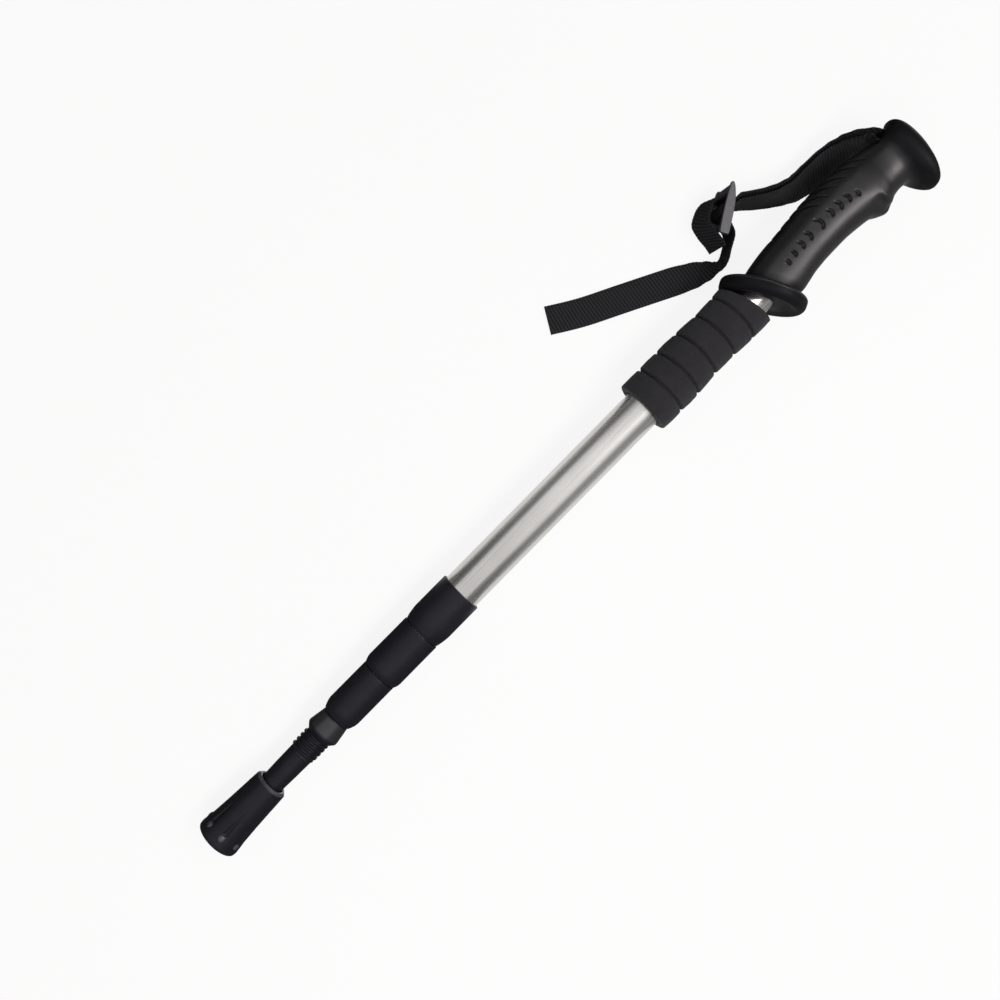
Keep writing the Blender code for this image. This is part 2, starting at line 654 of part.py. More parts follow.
def strap_route():
    """Stations of the webbing as (point, width direction), from its sewn end to its free end."""
    w = buckle_axes()[2]
    up = Matrix.Rotation(-SHAFT_TILT, 3, "Y") @ Vector((0, 0, 1))

    def leaning(degrees):
        """Width direction of webbing that leans away from the grip, 90 degrees upright."""
        return Matrix.Rotation(math.radians(degrees), 3, "X") @ Vector((0, 1, 0))

    pin = over_floor((PIN_X, PIN_Y, 0))
    wrap = PIN_RADIUS + 1.5 * FIT_GAP + WEB_THICK / 2

    # Middle line of the two layers from the pin to the buckle: point, width direction, spread
    middle = [
        (pin + Vector((-0.9, 4.0, 0)), up, wrap),
        (Vector((471.0, 14.6, 23.0)), up, 2.6), (Vector((468.2, 17.4, 19.6)), leaning(82), 2.2),
        (Vector((464.2, 19.3, 14.6)), leaning(68), 2.0),
        (Vector((458.5, 20.9, 10.4)), leaning(52), 1.8),
        (Vector((450.9, 21.6, 8.2)), leaning(45), 1.8),
        (Vector((441.7, 21.9, 7.8)), leaning(46), 1.8),
        (Vector((433.2, 22.8, 8.3)), leaning(54), 1.8),
        (Vector((427.4, 24.7, 8.7)), leaning(63), 1.7),
        (Vector((421.6, 27.5, 9.0)), leaning(70), 1.7),
        (Vector((415.2, 31.3, 9.2)), leaning(75), 1.6),
        (Vector((407.7, 36.9, 9.6)), leaning(82), 1.6),
    ]
    inner_layer, outer_layer = [], []
    for i, (point, width, spread) in enumerate(middle):
        before = middle[max(i - 1, 0)][0]
        after = middle[min(i + 1, len(middle) - 1)][0]
        ahead = (after - before).normalized()
        out = width.cross(ahead).normalized()
        inner_layer.append((point + out * spread, width))
        outer_layer.append((point - out * spread, width))
    turn_start = (outer_layer[0][0] - pin)
    around = []
    turns = 8
    start_angle = math.atan2(turn_start.y, turn_start.x)
    end_angle = math.atan2((inner_layer[0][0] - pin).y, (inner_layer[0][0] - pin).x)
    while end_angle > start_angle:
        end_angle -= math.tau
    for i in range(1, turns):
        a = start_angle + (end_angle - start_angle) * i / turns
        around.append((pin + Vector((math.cos(a), math.sin(a), 0)) * wrap, up))
    loop = (w + Vector((0.22, -0.06, 0))).normalized()
    sewn_end = [(at_buckle(-18.4, -2.8), loop), (at_buckle(-15.8, 0.0), loop),
                (at_buckle(-12.4, 4.6), loop), (at_buckle(-8.0, 7.6), w)]
    sewn_end += [(at_buckle(*p), w) for p in
                 [(-2.0, 8.8), (3.0, 7.4), (5.6, 3.6), (6.1, 0.0), (7.0, -3.6)]]
    through = [(at_buckle(*p), w) for p in
               [(4.4, -4.2), (3.3, -1.6), (2.4, 1.4), (-0.2, 3.0), (-3.0, 1.5), (-4.0, -1.6),
                (-6.8, -4.6), (-10.4, -7.0)]]
    toward = Vector((-0.481, -0.877, 0))
    tail = [
        (Vector((385.8, 25.2, 8.5)), (up * 0.96 + toward * 0.27).normalized()),
        (Vector((380.9, 22.6, 7.9)), (up * 0.95 + toward * 0.3).normalized()),
        (Vector((376.9, 22.9, 7.2)), (up * 0.88 + toward * 0.47).normalized()),
        (Vector((371.9, 25.1, 5.4)), (up * 0.64 + toward * 0.77).normalized()),
        (Vector((365.6, 28.8, 3.0)), (up * 0.3 + toward * 0.95).normalized()),
        (Vector((355.3, 34.5, 1.2)), toward), (Vector((333.5, 45.5, 0.9)), toward),
        (Vector((313.9, 55.3, 0.9)), toward), (Vector((298.6, 64.6, 0.9)), toward)]
    return (sewn_end + list(reversed(outer_layer)) + around + inner_layer + through + tail)


def smooth_route(stations, step):
    """Catmull-Rom curve through the stations, cut into pieces of about the step's length."""
    points = [s[0] for s in stations]
    widths = [s[1] for s in stations]
    result = []
    for i in range(len(points) - 1):
        p0, p1 = points[max(i - 1, 0)], points[i]
        p2, p3 = points[i + 1], points[min(i + 2, len(points) - 1)]
        count = max(1, round((p2 - p1).length / step))
        for k in range(count):
            t = k / count
            point = 0.5 * ((2 * p1) + (p2 - p0) * t + (2 * p0 - 5 * p1 + 4 * p2 - p3) * t**2
                           + (3 * p1 - p0 - 3 * p2 + p3) * t**3)
            result.append((point, widths[i].lerp(widths[i + 1], t).normalized()))
    result.append((points[-1], widths[-1]))
    return result


def make_webbing(collection, parent, origin):
    """One strip of webbing: sewn end, lower layer, round the pin, upper layer and tail."""
    stations = smooth_route(strap_route(), 2.8)
    bm = bmesh.new()
    rings = []
    for i, (point, width) in enumerate(stations):
        before = stations[max(i - 1, 0)][0]
        after = stations[min(i + 1, len(stations) - 1)][0]
        ahead = (after - before).normalized()
        out = ahead.cross(width).normalized()
        across = out.cross(ahead).normalized()
        corners = [(1, 1), (-1, 1), (-1, -1), (1, -1)]
        rings.append([bm.verts.new((point - origin + across * a * WEB_WIDTH / 2
                                    + out * b * WEB_THICK / 2) * MM) for a, b in corners])
    for near, far in zip(rings, rings[1:]):
        for i in range(4):
            j = (i + 1) % 4
            bm.faces.new((near[i], near[j], far[j], far[i]))
    bm.faces.new(list(reversed(rings[0])))
    bm.faces.new(rings[-1])
    bmesh.ops.recalc_face_normals(bm, faces=bm.faces)
    mesh = bpy.data.meshes.new("strap_webbing")
    bm.to_mesh(mesh)
    bm.free()
    return add_piece("strap_webbing", mesh, "webbing", collection, parent)


def rail_outline():
    """Side view of a buckle rail: blunt at the tail end, drawn to a point at the other."""
    lower = [(-12.8, -2.2), (-12.0, -3.1), (-4.0, -3.0), (4.0, -2.4), (9.5, -1.1), (12.6, 0.4)]
    upper = [(12.9, 1.2), (11.0, 1.8), (4.0, 2.3), (-4.0, 2.2), (-11.0, 1.8), (-12.8, 1.0)]
    return lower + upper


def lever_outline():
    """Side view of the plate between the rails' pointed ends, which is lifted to let go."""
    return [(7.7, -0.5), (9.5, -0.9), (12.3, 0.5), (12.5, 1.1), (10.9, 1.6), (7.7, 1.7)]


def prism_mesh(name, outline, thick):
    """The outline drawn out along its own z."""
    curve = bpy.data.curves.new(name, "CURVE")
    curve.dimensions = "2D"
    curve.fill_mode = "BOTH"
    curve.extrude = thick / 2 * MM
    spline = curve.splines.new("POLY")
    spline.points.add(len(outline) - 1)
    spline.use_cyclic_u = True
    for target, (x, y) in zip(spline.points, outline):
        target.co = (x * MM, y * MM, 0, 1)
    return curve_mesh(curve)


def make_buckle(collection, parent, origin):
    """Ladder buckle: two rails with a lever plate and two round bars between them."""
    u, v, w = buckle_axes()
    frame = add_empty("buckle_frame", parent, Vector(BUCKLE_CENTRE) - origin,
                      Matrix((u, v, w)).transposed().to_euler())
    offset = (BUCKLE_INSIDE + RAIL_THICK) / 2
    buckle = add_piece("strap_buckle", prism_mesh("strap_buckle", rail_outline(), RAIL_THICK),
                       "buckle", collection, frame)
    buckle.location = (0, 0, offset * MM)
    other = add_cutter("buckle_rail", prism_mesh("rail", rail_outline(), RAIL_THICK), CUTTERS,
                       frame)
    other.location = (0, 0, -offset * MM)
    lever = add_cutter("buckle_lever", prism_mesh("lever", lever_outline(), 2 * offset), CUTTERS,
                       frame)
    boolean(buckle, lever, "UNION")
    boolean(buckle, other, "UNION")
    for k, along in enumerate(BUCKLE_BARS):
        bar = add_cutter(f"buckle_bar_{k}", cone_mesh("bar", BAR_RADIUS, BAR_RADIUS,
                                                      2 * offset, 12), CUTTERS, frame)
        bar.location = Vector((along, 0, 0)) * MM
        boolean(buckle, bar, "UNION")
    return buckle


# Assembly

def build_shaft(collection, shaft):
    """Handle, three telescoping sections with their locks, and the foot."""
    make_grip(collection, shaft)
    make_strap_pin(collection, shaft)
    make_tube("upper", collection, shaft)
    make_sheath("upper", collection, shaft)
    make_foam_sleeve(collection, shaft)
    for key, outer_key in (("second", "upper"), ("third", "second"), ("lower", "third")):
        lock = add_empty(key + "_lock_axis", shaft)
        nut = add_empty(key + "_nut_axis", shaft)
        section = add_empty(key + "_section_axis", shaft)
        make_tube(key, collection, section)
        if key in SHEATH_ENDS:
            make_sheath(key, collection, section)
        make_lock(key, outer_key, collection, section, lock, nut)
    make_tip_ferrule(collection, section)
    make_carbide_tip(collection, section)
    foot = add_empty("foot_axis", shaft)
    make_rubber_foot(collection, foot)
    make_foot_washer(collection, foot)


def build_strap(collection, stand):
    """The strap hangs on the pin and lies on the floor beside the grip."""
    pin = over_floor((PIN_X, PIN_Y, 0))
    hinge = add_empty("strap_hinge", stand, pin)
    make_webbing(collection, hinge, pin)
    make_buckle(collection, hinge, pin)


def stand_at_origin(stand, collection):
    """Moves the whole stick so that the middle of its footprint is at the origin."""
    bpy.context.view_layer.update()
    graph = bpy.context.evaluated_depsgraph_get()
    corners = []
    for obj in collection.objects:
        ready = obj.evaluated_get(graph)
        corners += [ready.matrix_world @ v.co for v in ready.data.vertices]
    low = Vector([min(c[k] for c in corners) for k in range(3)])
    high = Vector([max(c[k] for c in corners) for k in range(3)])
    stand.location -= Vector(((low.x + high.x) / 2, (low.y + high.y) / 2, low.z))
    bpy.context.view_layer.update()
    print("size in mm", [round(s / MM, 2) for s in high - low], "lowest", round(low.z / MM, 3))


def shade(collection):
    for obj in collection.objects:
        if obj.name != "strap_webbing":
            obj.data.shade_smooth()
            obj.data.set_sharp_from_angle(angle=math.radians(35))


clear_scene()
STICK = make_collection("walking_stick")
CUTTERS = make_collection("cutters")
STAND = add_empty("stick_on_the_floor", None)
SHAFT = add_empty("shaft_axis", STAND, (0, 0, axis_start_height()), (0, -SHAFT_TILT, 0))
build_shaft(STICK, SHAFT)
build_strap(STICK, STAND)
shade(STICK)
stand_at_origin(STAND, STICK)

PIN_PLACE = SHAFT.matrix_world @ (Vector((PIN_X, PIN_Y, 0)) * MM)
SOLE_PLACE = SHAFT.matrix_world @ (Vector((SOLE_X, 0, 0)) * MM)
SHAFT_LINE = (SHAFT.matrix_world.to_3x3() @ Vector((1, 0, 0))).normalized()
PIN_LINE = (SHAFT.matrix_world.to_3x3() @ Vector((0, 0, 1))).normalized()
print("shaft line", [round(c, 6) for c in SHAFT_LINE], "pin line", [round(c, 6) for c in PIN_LINE])
print("pin", [round(c, 6) for c in PIN_PLACE], "sole", [round(c, 6) for c in SOLE_PLACE])
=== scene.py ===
import json
import math

import bmesh
import bpy
import numpy as np
from mathutils import Matrix, Vector


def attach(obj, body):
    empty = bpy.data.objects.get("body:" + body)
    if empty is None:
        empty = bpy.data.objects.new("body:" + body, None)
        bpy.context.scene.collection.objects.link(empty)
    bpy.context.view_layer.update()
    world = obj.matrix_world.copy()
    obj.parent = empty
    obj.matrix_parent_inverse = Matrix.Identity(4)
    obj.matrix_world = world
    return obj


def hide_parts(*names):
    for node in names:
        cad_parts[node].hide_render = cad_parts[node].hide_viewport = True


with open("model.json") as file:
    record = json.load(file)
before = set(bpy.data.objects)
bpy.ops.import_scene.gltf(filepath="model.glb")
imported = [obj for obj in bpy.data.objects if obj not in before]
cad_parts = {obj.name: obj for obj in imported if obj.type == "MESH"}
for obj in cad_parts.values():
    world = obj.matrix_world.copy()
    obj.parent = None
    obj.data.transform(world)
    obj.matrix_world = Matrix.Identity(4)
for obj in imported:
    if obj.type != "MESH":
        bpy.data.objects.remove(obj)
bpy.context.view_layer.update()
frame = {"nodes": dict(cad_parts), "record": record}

# The shaft's own frame in mm: x from the sole of the foot to the head, y towards the strap, z up
sole = next(m for m in frame["record"]["mounts"] if m["name"] == "foot_sole")
soleX = 2.2
mm = 0.001
shaftX = -Vector(sole["axis"]).normalized()
shaftZ = shaftX.cross(Vector((0, 1, 0))).normalized()
shaftY = shaftZ.cross(shaftX)
shaftStart = Vector(sole["pos_m"]) - shaftX * soleX * mm
shaftTurn = Matrix((shaftX, shaftY, shaftZ)).transposed()
shaftFrame = Matrix.Translation(shaftStart) @ shaftTurn.to_4x4() @ Matrix.Scale(mm, 4)
# The floor's frame in mm, in which the strap lies
floorStart = Vector((shaftStart.x, shaftStart.y, 0))
floorFrame = Matrix.Translation(floorStart) @ Matrix.Scale(mm, 4)
print("frame loaded, shaft rises", round(math.degrees(math.asin(shaftX.z)), 2), "degrees")


# Shader maths as Python expressions

class Wire:
    # one output of a node, which can be added, multiplied and so on
    def __init__(self, finish, socket):
        self.finish, self.socket = finish, socket

    def maths(self, kind, *values):
        return self.finish.node("Math", dict(operation=kind), dict(enumerate(values)))

    def __add__(self, other):
        return self.maths("ADD", self, other)

    def __sub__(self, other):
        return self.maths("SUBTRACT", self, other)

    def __rsub__(self, other):
        return self.maths("SUBTRACT", other, self)

    def __mul__(self, other):
        return self.maths("MULTIPLY", self, other)

    def __truediv__(self, other):
        return self.maths("DIVIDE", self, other)

    __radd__ = __add__
    __rmul__ = __mul__


class Finish:
    # a material with one principled shader
    def __init__(self, name, **sockets):
        self.material = bpy.data.materials.new(name)
        self.material.use_nodes = True
        self.tree = self.material.node_tree
        self.shader = self.tree.nodes["Principled BSDF"]
        self.set(**sockets)

    def node(self, kind, settings, values, output=0):
        made = self.tree.nodes.new("ShaderNode" + kind)
        for key, value in settings.items():
            if key == "stops":
                self.setStops(made.color_ramp, value)
            else:
                setattr(made, key, value)
        for key, value in values.items():
            self.feed(made.inputs[key], value)
        return Wire(self, made.outputs[output])

    def setStops(self, ramp, stops):
        while len(ramp.elements) < len(stops):
            ramp.elements.new(0.5)
        for element, (position, level) in zip(ramp.elements, stops):
            element.position = position
            element.color = (level, level, level, 1)

    def feed(self, socket, value):
        if isinstance(value, Wire):
            self.tree.links.new(value.socket, socket)
        elif isinstance(value, tuple) and len(value) == 3 and socket.type == "RGBA":
            socket.default_value = (*value, 1)
        else:
            socket.default_value = value

    def set(self, **sockets):
        # baseColor="..." stands for the shader's Base Color, and so on
        for key, value in sockets.items():
            label = "".join(" " + c if c.isupper() else c for c in key).title()
            self.feed(self.shader.inputs[label.replace("Ior", "IOR")], value)

    def place(self):
        # where a point is at rest in the shaft's frame, in mm
        spot = self.node("TexCoord", {}, {}, "Object")
        return self.node("Mapping", dict(vector_type="TEXTURE"),
                         dict(Vector=spot, Location=tuple(shaftStart),
                              Rotation=tuple(shaftTurn.to_euler()), Scale=(mm, mm, mm)))

    def parts(self, vector):
        made = self.node("SeparateXYZ", {}, dict(Vector=vector))
        return [Wire(self, made.socket.node.outputs[k]) for k in range(3)]

    def point(self, x, y, z):
        return self.node("CombineXYZ", {}, dict(X=x, Y=y, Z=z))

    def noise(self, vector, scale, detail=3.0, rough=0.55):
        return self.node("TexNoise", {}, dict(Vector=vector, Scale=scale, Detail=detail,
                                              Roughness=rough), "Fac")

    def ramp(self, value, *stops):
        return self.node("ValToRGB", dict(stops=stops), dict(Fac=value))

    def mix(self, share, first, second):
        return self.node("Mix", dict(data_type="RGBA"), {0: share, 6: first, 7: second}, 2)

    def bump(self, height, strength, distance=0.1 * mm):
        self.set(normal=self.node("Bump", {}, dict(Height=height, Strength=strength,
                                                   Distance=distance)))


def stretched(finish, along, across):
    # the place with its lengthwise detail drawn out, for marks that run along the shaft
    x, y, z = finish.parts(finish.place())
    return finish.point(x * along, y * across, z * across)


def aluminiumFinish(name):
    # drawn, anodised tube: fine lengthwise lines, a faint cloudiness and a few hairline scratches
    look = dict(dark=(0.53, 0.515, 0.495), light=(0.69, 0.675, 0.655), rough=0.2)
    f = Finish(name, metallic=1.0)
    lines = f.noise(stretched(f, 0.03, 2.6), 1.0, 4.0)
    cloud = f.noise(f.place(), 0.035, 2.0)
    scratch = f.ramp(f.noise(stretched(f, 0.05, 1.1), 1.0, 1.0), (0.7, 0), (0.73, 1))
    share = f.ramp(lines * 0.65 + cloud * 0.45, (0.35, 0), (0.75, 1))
    f.set(baseColor=f.mix(share, look["dark"], look["light"]),
          roughness=look["rough"] + lines * 0.1 + scratch * 0.08)
    f.bump(lines - scratch * 0.35, 0.12, 0.03 * mm)
    return f.material


def plasticFinish(name, look):
    # moulded plastic with a lengthwise drag in its skin and handling marks; a band and nubs that
    # stand proud may get a smooth coat, and a paler colour there as a painted highlight
    f = Finish(name, specularIorLevel=look["gloss"])
    lines = f.noise(stretched(f, 0.05, 1.7), 1.0, 3.0)
    grain = f.noise(f.place(), 5.0, 2.0)
    worn = f.ramp(f.noise(f.place(), 0.16, 4.0), (0.5, 0), (0.72, 1))
    color = f.mix(lines * 0.7 + worn * 0.25, look["dark"], look["light"])
    if "rubbed" in look:
        x = f.parts(f.place())[0]
        low, high = look["rubbed"]
        smooth = (f.ramp((x - low) / (high - low), (0.0, 0), (0.12, 1), (0.93, 1), (1.0, 0))
                  + f.node("Attribute", dict(attribute_name="nub"), {}, "Fac"))
        # painted highlight: the band and the nubs are mixed towards a paler colour, besides their
        # coat
        color = f.mix(smooth * (0.55 + worn * 0.3), color, look["paintedHighlight"])
        f.set(coatWeight=smooth * 0.75, coatRoughness=0.25)
    f.set(baseColor=color, roughness=look["rough"] + lines * 0.12 - worn * 0.05 + grain * 0.05)
    f.bump(lines * look["drag"] + grain * 0.3, 0.35, 0.08 * mm)
    return f.material


flange = dict(
    centre=(377.2, -3.3), lean=math.radians(27.0), radius=21.7, thick=7.2, headEdge=1.4,
    tipEdge=3.6, dish=1.2)


def gripFinish():
    # moulding with a fine spark-eroded grain: a satin skin where a hand holds it, and a duller
    # one on the flange, on the head and inside the V grooves
    look = dict(dark=(0.0040, 0.0040, 0.0054), light=(0.0080, 0.0076, 0.0090), rough=0.55)
    f = Finish("gripMoulding", specularIorLevel=0.08, coatRoughness=0.36)
    place = f.place()
    x, y = f.parts(place)[:2]
    c, s = math.cos(flange["lean"]), math.sin(flange["lean"])
    side = (x - flange["centre"][0]) * c + (y - flange["centre"][1]) * s
    # the coat is on the flange's edge and on the handle as far as the head, but not in grooves
    handle = (f.ramp(side * 0.1, (0.16, 0), (0.22, 1), (0.36, 1), (0.42, 0), (0.5, 0), (0.95, 1))
              * f.ramp(x * 0.01 - 4.0, (0.65, 1), (0.695, 0))
              * (1 - f.node("Attribute", dict(attribute_name="grooved"), {}, "Fac")))
    grain = f.noise(place, 3.4, 3.0, 0.6)
    fine = f.noise(place, 11.0, 1.0)
    rubbed = f.ramp(f.noise(place, 0.07, 3.0), (0.42, 0), (0.66, 1))
    f.set(baseColor=f.mix(rubbed * 0.6 + grain * 0.4, look["dark"], look["light"]),
          roughness=look["rough"] + grain * 0.12 - rubbed * 0.06,
          coatWeight=handle * (0.78 + rubbed * 0.08) + 0.05)
    f.bump(grain * 0.7 + fine * 0.3, 0.3, 0.09 * mm)
    return f.material


def foamFinish():
    # closed-cell foam: fine pores, and a dusty bloom on the skin
    look = dict(dark=(0.0108, 0.0100, 0.0126), light=(0.0275, 0.0257, 0.0300))
    f = Finish("foamSkin", specularIorLevel=0.2, sheenWeight=0.06, sheenRoughness=0.6)
    place = f.place()
    cells = f.node("TexVoronoi", {}, dict(Vector=place, Scale=2.6), "Distance")
    fine = f.noise(place, 6.0, 4.0, 0.65)
    bloom = f.noise(place, 0.11, 3.0)
    share = f.ramp(fine * 0.6 + cells * 0.35 + bloom * 0.5, (0.45, 0), (0.95, 1))
    f.set(baseColor=f.mix(share, look["dark"], look["light"]), roughness=0.8 + fine * 0.2)
    f.bump(cells * 0.6 + fine * 0.6, 0.55, 0.16 * mm)
    return f.material


def webbingFinish():
    # woven polyester: weft ribs from the mesh, with warp yarns between them
    # the colour is lighter on the ribs' crests and darker between them: a painted highlight and
    # painted shade
    look = dict(dark=(0.0032, 0.0032, 0.0040), light=(0.0260, 0.0255, 0.0290))
    f = Finish("webbingWeave", specularIorLevel=0.15, sheenWeight=0.02, sheenRoughness=0.45)
    along, across, rib = f.parts(f.node("Attribute", dict(attribute_name="weave"), {}, "Vector"))
    warp = f.node("Math", dict(operation="SINE"), {0: across * (math.tau / 0.62)})
    twill = f.node("Math", dict(operation="SINE"), {0: along * (math.tau / 0.65) + across * 2.3})
    fuzz = f.noise(f.place(), 7.0, 3.0)
    weave = warp * 0.5 * rib + twill * 0.22 + 0.5
    # painted highlight and shade: the rib's height lightens the crests and darkens the troughs
    f.set(baseColor=f.mix(f.ramp(weave * 0.3 + rib * 0.55 + fuzz * 0.3, (0.3, 0), (0.95, 1)),
                          look["dark"], look["light"]),
          roughness=0.62 + fuzz * 0.2)
    f.bump(weave * 0.7 + fuzz * 0.35, 0.6, 0.12 * mm)
    return f.material


def buckleFinish():
    look = dict(dark=(0.036, 0.036, 0.044), light=(0.066, 0.066, 0.080))
    f = Finish("buckleMoulding", specularIorLevel=0.7)
    place = f.place()
    grain = f.noise(place, 4.0, 3.0)
    cloud = f.noise(place, 0.5, 2.0)
    f.set(baseColor=f.mix(cloud * 0.6 + grain * 0.4, look["dark"], look["light"]),
          roughness=0.33 + grain * 0.14)
    f.bump(grain, 0.25, 0.06 * mm)
    return f.material


def steelFinish(name, tint, rough):
    # turned steel: rings of the tool, with a little staining
    f = Finish(name, metallic=1.0)
    x, y, z = f.parts(f.place())
    rings = f.noise(f.point(x * 6.0, y * 0.2, z * 0.2), 1.0, 2.0)
    stain = f.noise(f.place(), 0.5, 4.0)
    low = tuple(c * 0.7 for c in tint)
    f.set(baseColor=f.mix(rings * 0.4 + stain * 0.6, low, tint),
          roughness=rough + stain * 0.15)
    f.bump(rings, 0.2, 0.03 * mm)
    return f.material


def nylonFinish():
    # natural nylon, slightly yellow and waxy
    f = Finish("naturalNylon", subsurfaceWeight=0.15, subsurfaceScale=0.0015)
    place = f.place()
    cloud = f.noise(place, 0.25, 3.0)
    grain = f.noise(place, 3.0, 2.0)
    f.set(baseColor=f.mix(cloud, (0.55, 0.54, 0.49), (0.68, 0.67, 0.62)),
          roughness=0.38 + grain * 0.15)
    f.bump(grain, 0.2, 0.05 * mm)
    return f.material


finishes = dict(
    tube=aluminiumFinish("anodisedTube"),
    sheath=plasticFinish("sheathPlastic", dict(dark=(0.0040, 0.0039, 0.0072),
                                               light=(0.0094, 0.0091, 0.0155), rough=0.40,
                                               drag=0.6, gloss=0.28)),
    # its collar band gets a coat, and a paler colour there as a painted highlight
    tip=plasticFinish("tipPlastic", dict(dark=(0.0042, 0.0041, 0.0074),
                                         light=(0.0088, 0.0085, 0.0146), rough=0.38,
                                         drag=0.2, gloss=0.28, rubbed=(75.8, 84.8),
                                         paintedHighlight=(0.014, 0.0135, 0.0185))),
    # the rim of its mouth and its nubs get a coat, and a paler colour there as a painted highlight
    foot=plasticFinish("footRubber", dict(dark=(0.0042, 0.0042, 0.0074),
                                          light=(0.0088, 0.0085, 0.0146), rough=0.36,
                                          drag=0.15, gloss=0.28, rubbed=(39.5, 41.4),
                                          paintedHighlight=(0.085, 0.084, 0.098))),
    grip=gripFinish(), foam=foamFinish(), webbing=webbingFinish(), buckle=buckleFinish(),
    steel=steelFinish("turnedSteel", (0.60, 0.59, 0.57), 0.24),
    carbide=steelFinish("sinteredCarbide", (0.30, 0.30, 0.31), 0.38),
    nylon=nylonFinish())
print("finishes made:", len(finishes))


# Meshes

def edited(mesh, change):
    # the mesh after change has worked on its editable form
    bm = bmesh.new()
    bm.from_mesh(mesh)
    change(bm)
    bm.to_mesh(mesh)
    bm.free()
    return mesh


def tidyMesh(mesh, caps):
    # merges what meets on the axis, closes open ends and turns the faces outwards
    def tidied(bm):
        bmesh.ops.remove_doubles(bm, verts=bm.verts, dist=1e-4)
        bmesh.ops.dissolve_degenerate(bm, edges=bm.edges, dist=1e-5)
        if caps:
            bmesh.ops.holes_fill(bm, edges=bm.edges, sides=0)
        bmesh.ops.recalc_face_normals(bm, faces=bm.faces)

    return edited(mesh, tidied)


def ringQuads(count, steps, hollow=False):
    # the quads between closed rings; a hollow shape's last ring meets its first
    index = np.arange(count * steps).reshape(count, steps)
    near = index if hollow else index[:-1]
    far = np.roll(index, -1, 0) if hollow else index[1:]
    quads = np.stack([near, np.roll(near, -1, 1), np.roll(far, -1, 1), far], -1)
    return quads.reshape(-1, 4).tolist()


def ringMesh(name, rings, hollow=False):
    # a skin over closed rings of points in mm
    rings = np.asarray(rings, float)
    mesh = bpy.data.meshes.new(name)
    mesh.from_pydata(rings.reshape(-1, 3).tolist(), [], ringQuads(*rings.shape[:2], hollow))
    return tidyMesh(mesh, not hollow)


def roundCorners(corners, closed=True, arcSteps=4):
    # corners are (x, r) or (x, r, rounding); each rounding becomes a short curve
    points = []
    last = len(corners) - 1
    for i, corner in enumerate(corners):
        here = Vector(corner[:2])
        if len(corner) < 3 or (not closed and i in (0, last)):
            points.append(tuple(here))
            continue
        before = Vector(corners[i - 1][:2]) - here
        after = Vector(corners[(i + 1) % (last + 1)][:2]) - here
        half = before.angle(after) / 2
        reach = min(corner[2] / math.tan(half), 0.49 * before.length, 0.49 * after.length)
        start, end = here + before.normalized() * reach, here + after.normalized() * reach
        for k in range(arcSteps + 1):
            t = k / arcSteps
            points.append(tuple((1 - t)**2 * start + 2 * t * (1 - t) * here + t * t * end))
    return points


def splitLong(points, gap, closed=True):
    # extra points on the long stretches of an outline
    result = []
    following = points[1:] + points[:1] if closed else points[1:]
    for a, b in zip(points, following):
        a, b = Vector(a), Vector(b)
        pieces = max(1, math.ceil((b - a).length / gap))
        result += [tuple(a.lerp(b, k / pieces)) for k in range(pieces)]
    return result if closed else result + [tuple(points[-1])]


def onCurve(p0, p1, p2, p3, t):
    # a point on the smooth curve from p1 to p2 that also passes p0 and p3
    return 0.5 * ((2 * p1) + (p2 - p0) * t + (2 * p0 - 5 * p1 + 4 * p2 - p3) * t**2
                  + (3 * p1 - p0 - 3 * p2 + p3) * t**3)


def lathe(name, outline, steps=128, hollow=True, warp=None):
    # turns an outline of (x along the shaft, radius); warp may move points by their angle
    turns = np.arange(steps) * math.tau / steps
    flat = np.array(outline, float)
    x = np.repeat(flat[:, :1], steps, 1)
    r = np.repeat(flat[:, 1:2], steps, 1)
    turn = np.repeat(turns[None, :], len(flat), 0)
    if warp:
        x, r = warp(x, r, turn)
    return ringMesh(name, np.stack([x, r * np.cos(turn), r * np.sin(turn)], -1), hollow)


def smoothStep(low, high, value):
    t = np.clip((value - low) / (high - low), 0, 1)
    return t * t * (3 - 2 * t)


def setPiece(name, mesh, place, look, body, nodes=(), sharp=None):
    # a finished piece: put in its place, smooth, on its body, and standing for its CAD nodes
    mesh.transform(place)
    mesh.shade_smooth()
    if sharp:
        mesh.set_sharp_from_angle(angle=math.radians(sharp))
    piece = bpy.data.objects.new(name, mesh)
    bpy.context.scene.collection.objects.link(piece)
    mesh.materials.clear()
    mesh.materials.append(finishes[look])
    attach(piece, body)
    if nodes:
        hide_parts(*nodes)
    return piece


def finished(holder):
    # the mesh of an object with its modifiers applied; the object goes
    bpy.context.view_layer.update()
    mesh = bpy.data.meshes.new_from_object(
        holder.evaluated_get(bpy.context.evaluated_depsgraph_get()))
    bpy.data.objects.remove(holder, do_unlink=True)
    return mesh


def holderOf(mesh):
    holder = bpy.data.objects.new("holder", mesh)
    bpy.context.scene.collection.objects.link(holder)
    return holder


def fused(meshes, voxel, smoothing):
    # several overlapping solids as one skin, with soft inner corners
    bm = bmesh.new()
    for mesh in meshes:
        bm.from_mesh(mesh)
    joined = bpy.data.meshes.new("joined")
    bm.to_mesh(joined)
    bm.free()
    holder = holderOf(joined)
    remesh = holder.modifiers.new("fuse", "REMESH")
    remesh.mode = "VOXEL"
    remesh.voxel_size = voxel
    soften = holder.modifiers.new("soften", "SMOOTH")
    soften.factor = 0.5
    soften.iterations = smoothing
    return finished(holder)


def cut(mesh, *cutters):
    holder = holderOf(mesh)
    others = [holderOf(cutter) for cutter in cutters]
    for other in others:
        mod = holder.modifiers.new("cut", "BOOLEAN")
        mod.operation = "DIFFERENCE"
        mod.object = other
        mod.solver = "EXACT"
    result = finished(holder)
    for other in others:
        bpy.data.objects.remove(other, do_unlink=True)
    return result


